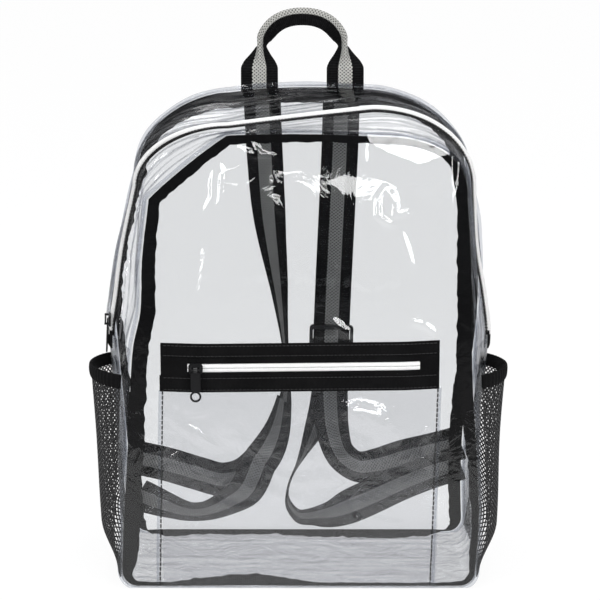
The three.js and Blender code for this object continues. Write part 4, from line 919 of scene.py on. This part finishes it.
# Straps: shares of the half width, the back's height and the stand-off behind it, and turn in degrees
STRAP_STAND_OFF = 18.0
STRAP_SEAM_END = 145.5
STRAP_LAYER_GAP = 0.8
MARKS_PER_ROW = 2
FRAMES_PER_ROW = 12
STRAP_ROWS = {
    "left": [
        (-0.215, 0.972, 0, 0), (-0.205, 0.87, 0.4, 8), (-0.185, 0.74, 0.75, 20), (-0.165, 0.66, 0.85, 36),
        (-0.13, 0.56, 0.97, 58), (-0.11, 0.49, 1.03, 70), (-0.09, 0.42, 1.06, 80), (-0.075, 0.36, 1.06, 82),
        (-0.085, 0.29, 1.03, 74), (-0.14, 0.21, 0.9, 46), (-0.23, 0.155, 0.82, 18), (-0.33, 0.122, 0.76, 4),
        (-0.46, 0.112, 0.66, 0), (-0.6, 0.128, 0.5, 0), (-0.78, 0.152, 0.3, 0), (-0.955, 0.172, 0, 0),
    ],
    "right": [
        (0.235, 0.972, 0, 0), (0.228, 0.86, 0.4, 0), (0.215, 0.74, 0.6, 0), (0.2, 0.61, 0.7, 0),
        (0.188, 0.5, 0.72, 0), (0.182, 0.43, 0.72, 0), (0.178, 0.36, 0.72, 0), (0.178, 0.29, 0.75, -8),
        (0.195, 0.22, 0.85, -26), (0.245, 0.165, 0.95, -44), (0.345, 0.135, 1.1, -50), (0.47, 0.14, 1.1, -34),
        (0.62, 0.162, 0.8, -12), (0.78, 0.184, 0.4, 0), (0.945, 0.205, 0.12, 0),
    ],
}
# The rows of the shoulder strap that each lower strap runs beside, on which face, and then its own rows
LOWER_STRAPS = {
    "left": (8, 10, -1, [
        (-0.32, 0.092, 0.35, -8), (-0.44, 0.057, 0.6, -28), (-0.55, 0.039, 0.68, -40), (-0.66, 0.037, 0.68, -40),
        (-0.8, 0.055, 0.5, -24), (-0.955, 0.086, 0, 0),
    ]),
    "right": (5.5, 6.5, 1, [
        (0.15, 0.27, 1.15, -20), (0.085, 0.21, 1.35, -52), (0.01, 0.15, 1.4, -76), (-0.06, 0.095, 1.4, -84),
        (-0.075, 0.05, 1.35, -88), (-0.01, 0.018, 1.25, -88), (0.11, 0.022, 1.1, -78), (0.25, 0.044, 0.6, -40),
        (0.42, 0.078, 0.22, -6), (0.6, 0.112, 0.1, 0), (0.78, 0.14, 0.05, 0), (0.945, 0.16, 0, 0),
    ]),
}
ADJUSTER_ROW = {"left": 7, "right": 5}
ADJUSTER_THICKNESS, ADJUSTER_REACH, ADJUSTER_STEPS = 3.0, 17.0, 40
STRAP_SEEDS = {"left": (61, 65), "right": (63, 67)}


def strap_point(row):
    across, up, behind, _ = row
    x = min(max(across * HALF_WIDTH, -STRAP_SEAM_END), STRAP_SEAM_END)
    return np.array([x, HALF_DEPTH + GAP + WEBBING_THICKNESS / 2 + behind * STRAP_STAND_OFF, up * BACK_HEIGHT])


def spline(points, t):
    """Centripetal spline through the points, t in rows, as the solids' curve runs."""
    n = len(points)
    i = min(int(math.floor(t)), n - 2)
    w = t - i
    p1, p2 = points[i], points[i + 1]
    p0 = points[i - 1] if i > 0 else 2 * points[0] - points[1]
    p3 = points[i + 2] if i + 2 < n else 2 * points[-1] - points[-2]
    d = [max(np.dot(b - a, b - a) ** 0.25, 1e-4) for a, b in ((p0, p1), (p1, p2), (p2, p3))]
    t1 = (p1 - p0) / d[0] - (p2 - p0) / (d[0] + d[1]) + (p2 - p1) / d[1]
    t2 = (p2 - p1) / d[1] - (p3 - p1) / (d[1] + d[2]) + (p3 - p2) / d[2]
    t1, t2 = t1 * d[1], t2 * d[1]
    return p1 + t1 * w + (-3 * p1 + 3 * p2 - 2 * t1 - t2) * w * w + (2 * p1 - 2 * p2 + t1 + t2) * w**3


def webbing_frames(points, turns):
    """Point, width direction and face direction at even steps between the rows."""
    last = len(points) - 1
    ts = np.linspace(0, last, last * FRAMES_PER_ROW + 1)
    before = FRAMES_PER_ROW // 2
    turn = np.pad(np.interp(ts, np.arange(len(turns)), turns), (before, FRAMES_PER_ROW - 1 - before), mode="edge")
    turn = np.convolve(turn, np.ones(FRAMES_PER_ROW) / FRAMES_PER_ROW, mode="valid")
    out = []
    for t, angle in zip(ts, turn):
        run = spline(points, min(t + 1e-3, last - 1e-9)) - spline(points, max(t - 1e-3, 0))
        run = run / np.linalg.norm(run)
        width = np.cross([0, 1, 0], run)
        width = Vector(width / np.linalg.norm(width))
        width = np.array(Matrix.Rotation(math.radians(angle), 3, Vector(run)) @ width)
        face = np.cross(run, width)
        out.append((spline(points, t), width, face / np.linalg.norm(face)))
    return out


def webbing_mesh(name, frames, seed, replaces):
    """A woven strap with rounded edges along its frames."""
    half, thick = WEBBING_WIDTH / 2, WEBBING_THICKNESS / 2
    v = np.concatenate([[-half, -half + 0.5], np.linspace(-half + 1.6, half - 1.6, 9), [half - 0.5, half]])
    edge = thick * np.concatenate([[0.25, 0.8], np.ones(9), [0.8, 0.25]])
    centres, widths, facings = (np.array(part)[:, None] for part in zip(*frames))
    s = arc_lengths(centres[:, 0])
    wave = 0.5 * noise_field(np.stack([s, 0 * s, 0 * s], axis=1), 45, seed, 1)
    bend = wave[:, None] * (1 - (v / half) ** 2)[None] * 1.2
    middle = centres + widths * v[None, :, None] + facings * bend[..., None]
    rise = facings * edge[None, :, None]
    make_sheet(name, middle + rise, middle - rise, pairs(s, v), SHADED_STRAP_WEBBING, replaces)


def weave_through(frames, centre):
    """Replaces the frames near an adjuster by those of webbing threaded over its middle bar."""
    c, width, face = frames[centre]
    run = np.cross(width, face)
    toward = face if face[1] < 0 else -face
    s = np.linspace(-ADJUSTER_REACH, ADJUSTER_REACH, ADJUSTER_STEPS + 1)
    over = smooth((9.5 - np.abs(s)) / 6.0) * (ADJUSTER_THICKNESS + WEBBING_THICKNESS + 0.6)
    made = []
    for k, value in enumerate(s):
        a, b = max(k - 1, 0), min(k + 1, ADJUSTER_STEPS)
        tangent = run + toward * (over[b] - over[a]) / (s[b] - s[a])
        normal = np.cross(tangent, width)
        made.append((c + run * value + toward * over[k], width, normal / np.linalg.norm(normal)))
    far = ADJUSTER_REACH + 2
    before = [f for f in frames[:centre] if (f[0] - c) @ run < -far]
    after = [f for f in frames[centre:] if (f[0] - c) @ run > far or f[0][2] < c[2] - 60]
    return before + made + after


def straps(side):
    """The shoulder strap and, from beside it to the seam, the lower strap of one side."""
    rows = STRAP_ROWS[side]
    seed, seed_low = STRAP_SEEDS[side]
    turns = [row[3] for row in rows]
    frames = webbing_frames([strap_point(row) for row in rows], turns)
    woven = weave_through(frames, ADJUSTER_ROW[side] * FRAMES_PER_ROW)
    webbing_mesh("strap_" + side, woven, seed, ["shoulder_strap_" + side])
    first, last, layer, own = LOWER_STRAPS[side]
    shift = layer * (WEBBING_THICKNESS + STRAP_LAYER_GAP)
    beside = frames[int(first * FRAMES_PER_ROW) : int(last * FRAMES_PER_ROW) + 1]
    beside = [(c + f * shift, w, f) for c, w, f in beside]
    lead = [c for c, _, _ in beside[:: FRAMES_PER_ROW // MARKS_PER_ROW]]
    lead_turns = np.interp(np.linspace(first, last, len(lead)), np.arange(len(turns)), turns)
    own_frames = webbing_frames(lead + [strap_point(row) for row in own], [*lead_turns, *(row[3] for row in own)])
    own_frames = own_frames[(len(lead) - 1) * FRAMES_PER_ROW + 1 :]
    webbing_mesh("strap_low_" + side, beside + own_frames, seed_low, ["lower_strap_" + side])


straps("left")
straps("right")

# Carry handle: heights are over the back seam, and each table's first column is a height or a share of the arch
HANDLE = dict(centre=2.0, leg=37.0, half=39.0, sewn=9.0, flat=14.5, neck=33.0, top=66.0, fold=3.0, square=2.15)
HANDLE_WIDTHS = [(14.5, 16.0), (19.0, 13.6), (25.0, 8.2), (30.0, 4.6), (33.0, 2.8)]  # half width seen
HANDLE_SWING = [(0.0, 84.0), (0.08, 70.0), (0.2, 44.0), (0.35, 18.0), (0.55, 2.0), (1.0, 0.0)]  # degrees
HANDLE_DROOP = [(0.0, 0.12), (0.08, 0.38), (0.15, 0.42), (0.3, 0.2), (0.45, 0.0), (1.0, 0.0)]
CROOK_RADIUS = 1.9
SEWN_STEPS, NECK_STEPS, ARCH_STEPS = 15, 22, 48


def handle_half():
    """Stations of the right half: x, height over the back seam, fold, swing, droop and tangent."""
    h = HANDLE
    power = 2 / h["square"]
    heights, widths = np.array(HANDLE_WIDTHS).T
    line = []
    for t in np.linspace(0, 1, SEWN_STEPS + 1):
        line.append((h["leg"], -h["sewn"] + (h["flat"] + h["sewn"]) * t, 90.0, 90.0, 0.0))
    for t in np.linspace(0, 1, NECK_STEPS + 1)[1:]:
        z = h["flat"] + (h["neck"] - h["flat"]) * t
        fold = math.degrees(math.asin(min(float(np.interp(z, heights, widths)) / (WEBBING_WIDTH / 2), 1)))
        line.append((h["leg"], z, fold, 90 - 6 * smooth(t), 0.12 * t))
    last = line[-1][2]
    for t in np.linspace(0, 1, ARCH_STEPS + 1)[1:]:
        a = math.radians(90 * t)
        x = h["half"] * max(math.cos(a), 0) ** power - (h["half"] - h["leg"]) * (1 - smooth(t * 5))
        z = h["neck"] + (h["top"] - h["neck"]) * math.sin(a) ** power
        fold = h["fold"] + (last - h["fold"]) * (1 - smooth(t * 4))
        line.append((x, z, fold, *(np.interp(t, *np.array(table).T) for table in (HANDLE_SWING, HANDLE_DROOP))))
    line = np.array(line)
    first = SEWN_STEPS + 2
    for _ in range(4):
        line[1:-1, 2:] = (line[:-2, 2:] + 2 * line[1:-1, 2:] + line[2:, 2:]) / 4
        line[first:-1, 0] = (line[first - 1 : -2, 0] + 2 * line[first:-1, 0] + line[first + 1 :, 0]) / 4
    step = np.gradient(line[:, :2], axis=0)
    tangent = np.degrees(np.arctan2(step[:, 1], step[:, 0]))
    tangent[-1] = 180
    return [(*row, angle) for row, angle in zip(line, tangent)]


def handle():
    """The webbing folded along its middle over the arch. The fold's crook is an arc."""
    half = handle_half()
    v = np.linspace(-WEBBING_WIDTH / 2, WEBBING_WIDTH / 2, 21)
    y = HALF_DEPTH + GAP + WEBBING_THICKNESS / 2
    outer, inner, spines = [], [], []
    stations = [(1, row) for row in half] + [(-1, row) for row in half[::-1][1:]]
    for side, (x, z, *degrees, droop, tangent) in stations:
        fold, swing, tan = (math.radians(angle) for angle in (*degrees, tangent))
        inward = np.array([-math.sin(tan) * side, 0, math.cos(tan)])
        bis = inward * math.cos(swing) + np.array([0, math.sin(swing), -droop])
        bis /= np.linalg.norm(bis)
        across = np.cross(bis, [math.cos(tan) * side, 0, math.sin(tan)])
        across = across * side / np.linalg.norm(across) * np.where(v > 0, 1, -1)[:, None]
        arc = CROOK_RADIUS * (math.pi / 2 - fold)
        phi = (np.minimum(np.abs(v), arc) / CROOK_RADIUS)[:, None]
        rest = np.maximum(np.abs(v) - arc, 0)[:, None]
        wide = CROOK_RADIUS * np.sin(phi) + rest * np.cos(phi)
        deep = CROOK_RADIUS * (1 - np.cos(phi)) + rest * np.sin(phi) - WEBBING_THICKNESS / 2
        spine = np.array([HANDLE["centre"] + side * x, y, BACK_HEIGHT + z])
        spines.append(spine)
        outer.append(spine + across * wide + bis * deep)
        inner.append(outer[-1] + (bis * np.cos(phi) - across * np.sin(phi)) * WEBBING_THICKNESS * 0.85)
    uv = pairs(arc_lengths(np.array(spines)), v)
    make_sheet("carry_handle", np.array(outer), np.array(inner), uv, HANDLE_WEBBING, ["handle"])


handle()

# Side pockets of net
NET_FOOT, HEM_FRONT, HEM_BACK, NET_BULGE = 9.0, 190.0, 170.0, 17.0
HEM_SHARE = 12.0 / (HEM_FRONT - NET_FOOT)
NET_EDGE = 0.02
NET_COLUMNS, NET_CELLS = 17, 36
STRAND_WIDTH, STRAND_THICKNESS = 1.25, 0.75


def net_grid(side, low, high, rows, cols, lift):
    """Points of the net's surface between two shares of its height."""
    grid = np.empty((rows + 1, cols + 1, 3))
    for i in range(rows + 1):
        rise = low + (high - low) * i / rows
        for j in range(cols + 1):
            across = NET_EDGE + (1 - 2 * NET_EDGE) * j / cols
            top = HEM_FRONT + (HEM_BACK - HEM_FRONT) * across
            grid[i, j] = side_point(side, NET_FOOT + (top - NET_FOOT) * rise, across)
            belly = math.sin(math.pi * across) ** 0.5 * smooth(rise * 5) * (1 - 0.06 * rise)
            grid[i, j, 0] += side * (lift + NET_BULGE * belly)
    return grid


def sample_grid(grid, r, a):
    """Bilinear points of a grid at fractions r down the rows and a across the columns."""
    rows, cols = grid.shape[0] - 1, grid.shape[1] - 1
    y, x = np.clip(r, 0, 1) * rows, np.clip(a, 0, 1) * cols
    i, j = np.minimum(y.astype(int), rows - 1), np.minimum(x.astype(int), cols - 1)
    fy, fx = (y - i)[..., None], (x - j)[..., None]
    return ((grid[i, j] * (1 - fx) + grid[i, j + 1] * fx) * (1 - fy)
            + (grid[i + 1, j] * (1 - fx) + grid[i + 1, j + 1] * fx) * fy)


def net_pocket(side, label):
    base = net_grid(side, 0, 1 - HEM_SHARE * 0.6, 44, 30, 1.3)
    knot_rows, knot_columns = np.meshgrid(np.arange(2 * NET_CELLS + 1), np.arange(NET_COLUMNS + 1), indexing="ij")
    section = np.diff(base[base.shape[0] // 2], axis=0)
    section = np.concatenate([[0], np.cumsum(np.hypot(section[:, 0], 0.25 * section[:, 1]))])
    even = (knot_columns + (knot_rows % 2) * 0.5 - 0.25) / NET_COLUMNS
    a = np.interp(even, section / section[-1], np.linspace(0, 1, len(section)))
    r = knot_rows / (2 * NET_CELLS)
    rng = np.random.default_rng(71 + side)
    a = a + rng.normal(0, 0.0012, a.shape)
    r = r + rng.normal(0, 0.0011, r.shape)
    points = sample_grid(base, r, a)
    facings = sample_grid(grid_normals(base), r, a)
    strands = []
    for i in range(2 * NET_CELLS):
        for j in range(NET_COLUMNS + 1):
            left = j - 1 if i % 2 == 0 else j
            ends = [k for k in (left, left + 1) if 0 <= k <= NET_COLUMNS]
            strands += [(points[i, j], points[i + 1, k], facings[i, j]) for k in ends]
    bars = bars_between(*zip(*strands), STRAND_WIDTH, STRAND_THICKNESS, 0.75)
    make_bars("net_" + label, [bars], NET, ["mesh_pocket_" + label])
    hem = net_grid(side, 1 - HEM_SHARE, 1.0, 8, 90, 1.0)
    pucker = 0.35 * np.sin(arc_lengths(hem[4]) / 1.1)[None]
    roll = 0.9 * np.sin(np.pi * np.linspace(0, 1, 9))[:, None] ** 0.5
    lifted_sheet("net_hem_" + label, hem, 1.3 + roll + pucker, -0.5, TAPE, ["pocket_hem_" + label])


net_pocket(-1, "left")
net_pocket(1, "right")


# Stitches
def front_stitches(xs, zs, lift, *sizes):
    path = np.stack([xs, front_face(xs, zs) - lift, zs], axis=1)
    return stitches(path, np.tile([0.0, -1.0, 0.0], (len(xs), 1)), *sizes)


def stitching():
    blocks = []
    for offset in (-4.6, 4.4):
        row = gusset_points(zip_run(), [(ZIP_FROM_FRONT + offset) / DEPTH + step for step in (0, 0.004)])
        blocks.append(stitches(row[:, 0], grid_normals(row)[:, 0], 1.7, 1.0, 1.1, 1.4))
    for x_top, x_foot, z_top in POCKET_SEAMS.values():
        zs = np.linspace(z_top, 3, 60)
        xs = x_top + (x_foot - x_top) * (z_top - zs) / z_top
        blocks.append(front_stitches(xs, zs, 2.2, 3.4, 0.9, 1.3, 0.5, 0.08))
    for z in (TOP_Z - 2.0, TOP_FOOT + 2.0, ZIP_FOOT - 2.2, LOW_FOOT + 2.0):
        xs = np.linspace(POCKET_LEFT + 2, POCKET_RIGHT - 2, 80)
        blocks.append(front_stitches(xs, z + POCKET_TILT * xs, 2.45, 2.4, 0.9, 0.6, 0.45))
    make_bars("stitching", blocks, THREAD)


stitching()

# Hard pieces kept from the solids
for name in ("pocket_zip_slider", "pocket_zip_pull", "main_zip_slider", "main_zip_pull", "strap_adjuster_left",
             "strap_adjuster_right"):
    kept = frame["nodes"][name]
    kept.data.materials.clear()
    kept.data.materials.append(HARD)

# Floor, light and camera, in metres
AIM = (0, 0, 0.22)
SOFTBOXES = [  # name, centre, width, height, brightness in a mirror
    ("front_box", (0.3, -2.6, 0.93), 2.0, 0.5, 9),
    ("left_box", (-1.7, -1.9, 0.3), 0.5, 2.0, 9),
    ("right_box", (1.7, -1.9, 0.3), 0.5, 2.0, 9),
    ("top_box", (0, -0.3, 2.4), 1.6, 1.2, 3),
]
FLOORS = [  # name, x from and to, y from and to, z, seen in mirrors
    ("floor_near", -0.7, 0.7, -0.8, 3.0, -0.0006, True),
    ("floor_far", -12, 12, -12, 12, -0.0012, False),
]
TARGET = Vector((0, 0, 0.2))
ELEVATION = math.radians(16)
DISTANCE = 2.4
SEEN_WIDTH = 0.516
SENSOR = 36


def paper_material():
    """White paper that glows more in front of the bag, and most to the camera."""
    material = bpy.data.materials.new("paper")
    g = Graph(material)
    seen = g.node("LightPath")["Is Camera Ray"]
    near = g.line(g.split(g.coords())[1], 22.0, 10.15)
    strength = g.times(g.math("MAXIMUM", near, seen), g.line(seen, 0.34, 0.58, clamp=False))
    glow = g.node("Emission", {"Color": WHITE, "Strength": strength})[0]
    paint = g.node("BsdfDiffuse", {"Color": (0.1, 0.1, 0.1)})[0]
    g.finish(g.node("AddShader", {0: glow, 1: paint})[0])
    return material


def floor(name, x0, x1, y0, y1, z, mirrored, material):
    mesh = bpy.data.meshes.new(name)
    mesh.from_pydata([(x0, y0, z), (x1, y0, z), (x1, y1, z), (x0, y1, z)], [], [(0, 1, 2, 3)])
    mesh.materials.append(material)
    obj = bpy.data.objects.new(name, mesh)
    scene.collection.objects.link(obj)
    obj.visible_glossy = mirrored


def world():
    """White to the camera. In mirrors a dark room, light above and in patches to the sides behind."""
    scene.world = bpy.data.worlds.new("studio")
    g = Graph(scene.world)
    direction = g.coords("Generated")
    parts = g.split(direction)
    beside = g.line(g.math("ABSOLUTE", parts[0]), 2.2, -0.7)
    behind = g.line(parts[1], 2.0, 0.6)
    above = g.line(parts[2], 2.2, -0.9)
    patches = g.line(g.noise(direction, 6.0, 1.0), 6.0, -2.5)
    flank = g.times(g.times(beside, behind), patches)
    amount = g.math("MAXIMUM", g.math("MAXIMUM", flank, above), g.times(behind, 0.07))
    room = g.node("Background", {"Color": g.mix(amount, (0.03, 0.03, 0.032), (0.95, 0.95, 0.97))})[0]
    sight = g.node("Background", {"Color": WHITE, "Strength": 1.0})[0]
    g.finish(g.blend(g.node("LightPath")["Is Camera Ray"], room, sight), "World")


def softbox(name, centre, width, height, radiance):
    """A light of even brightness, given as the brightness that a mirror shows."""
    data = bpy.data.lights.new(name, "AREA")
    data.shape = "RECTANGLE"
    data.size, data.size_y = width, height
    data.energy = radiance * math.pi * width * height
    obj = bpy.data.objects.new(name, data)
    scene.collection.objects.link(obj)
    obj.location = centre
    obj.rotation_euler = (Vector(AIM) - Vector(centre)).to_track_quat("-Z", "Y").to_euler()
    obj.visible_camera = False


def camera():
    data = bpy.data.cameras.new("camera")
    obj = bpy.data.objects.new("camera", data)
    scene.collection.objects.link(obj)
    scene.camera = obj
    obj.location = TARGET + DISTANCE * Vector((0, -math.cos(ELEVATION), math.sin(ELEVATION)))
    obj.rotation_euler = (math.pi / 2 - ELEVATION, 0, 0)
    data.sensor_width = SENSOR
    data.lens = SENSOR * DISTANCE / SEEN_WIDTH
    data.shift_y = 0.068
    data.clip_start, data.clip_end = 0.05, 60


PAPER = paper_material()
for row in FLOORS:
    floor(*row, PAPER)
world()
for row in SOFTBOXES:
    softbox(*row)
camera()

scene.view_settings.view_transform = "Standard"
scene.view_settings.look = "None"
scene.cycles.transparent_max_bounces = 40
scene.cycles.max_bounces = 8
scene.cycles.glossy_bounces = 4
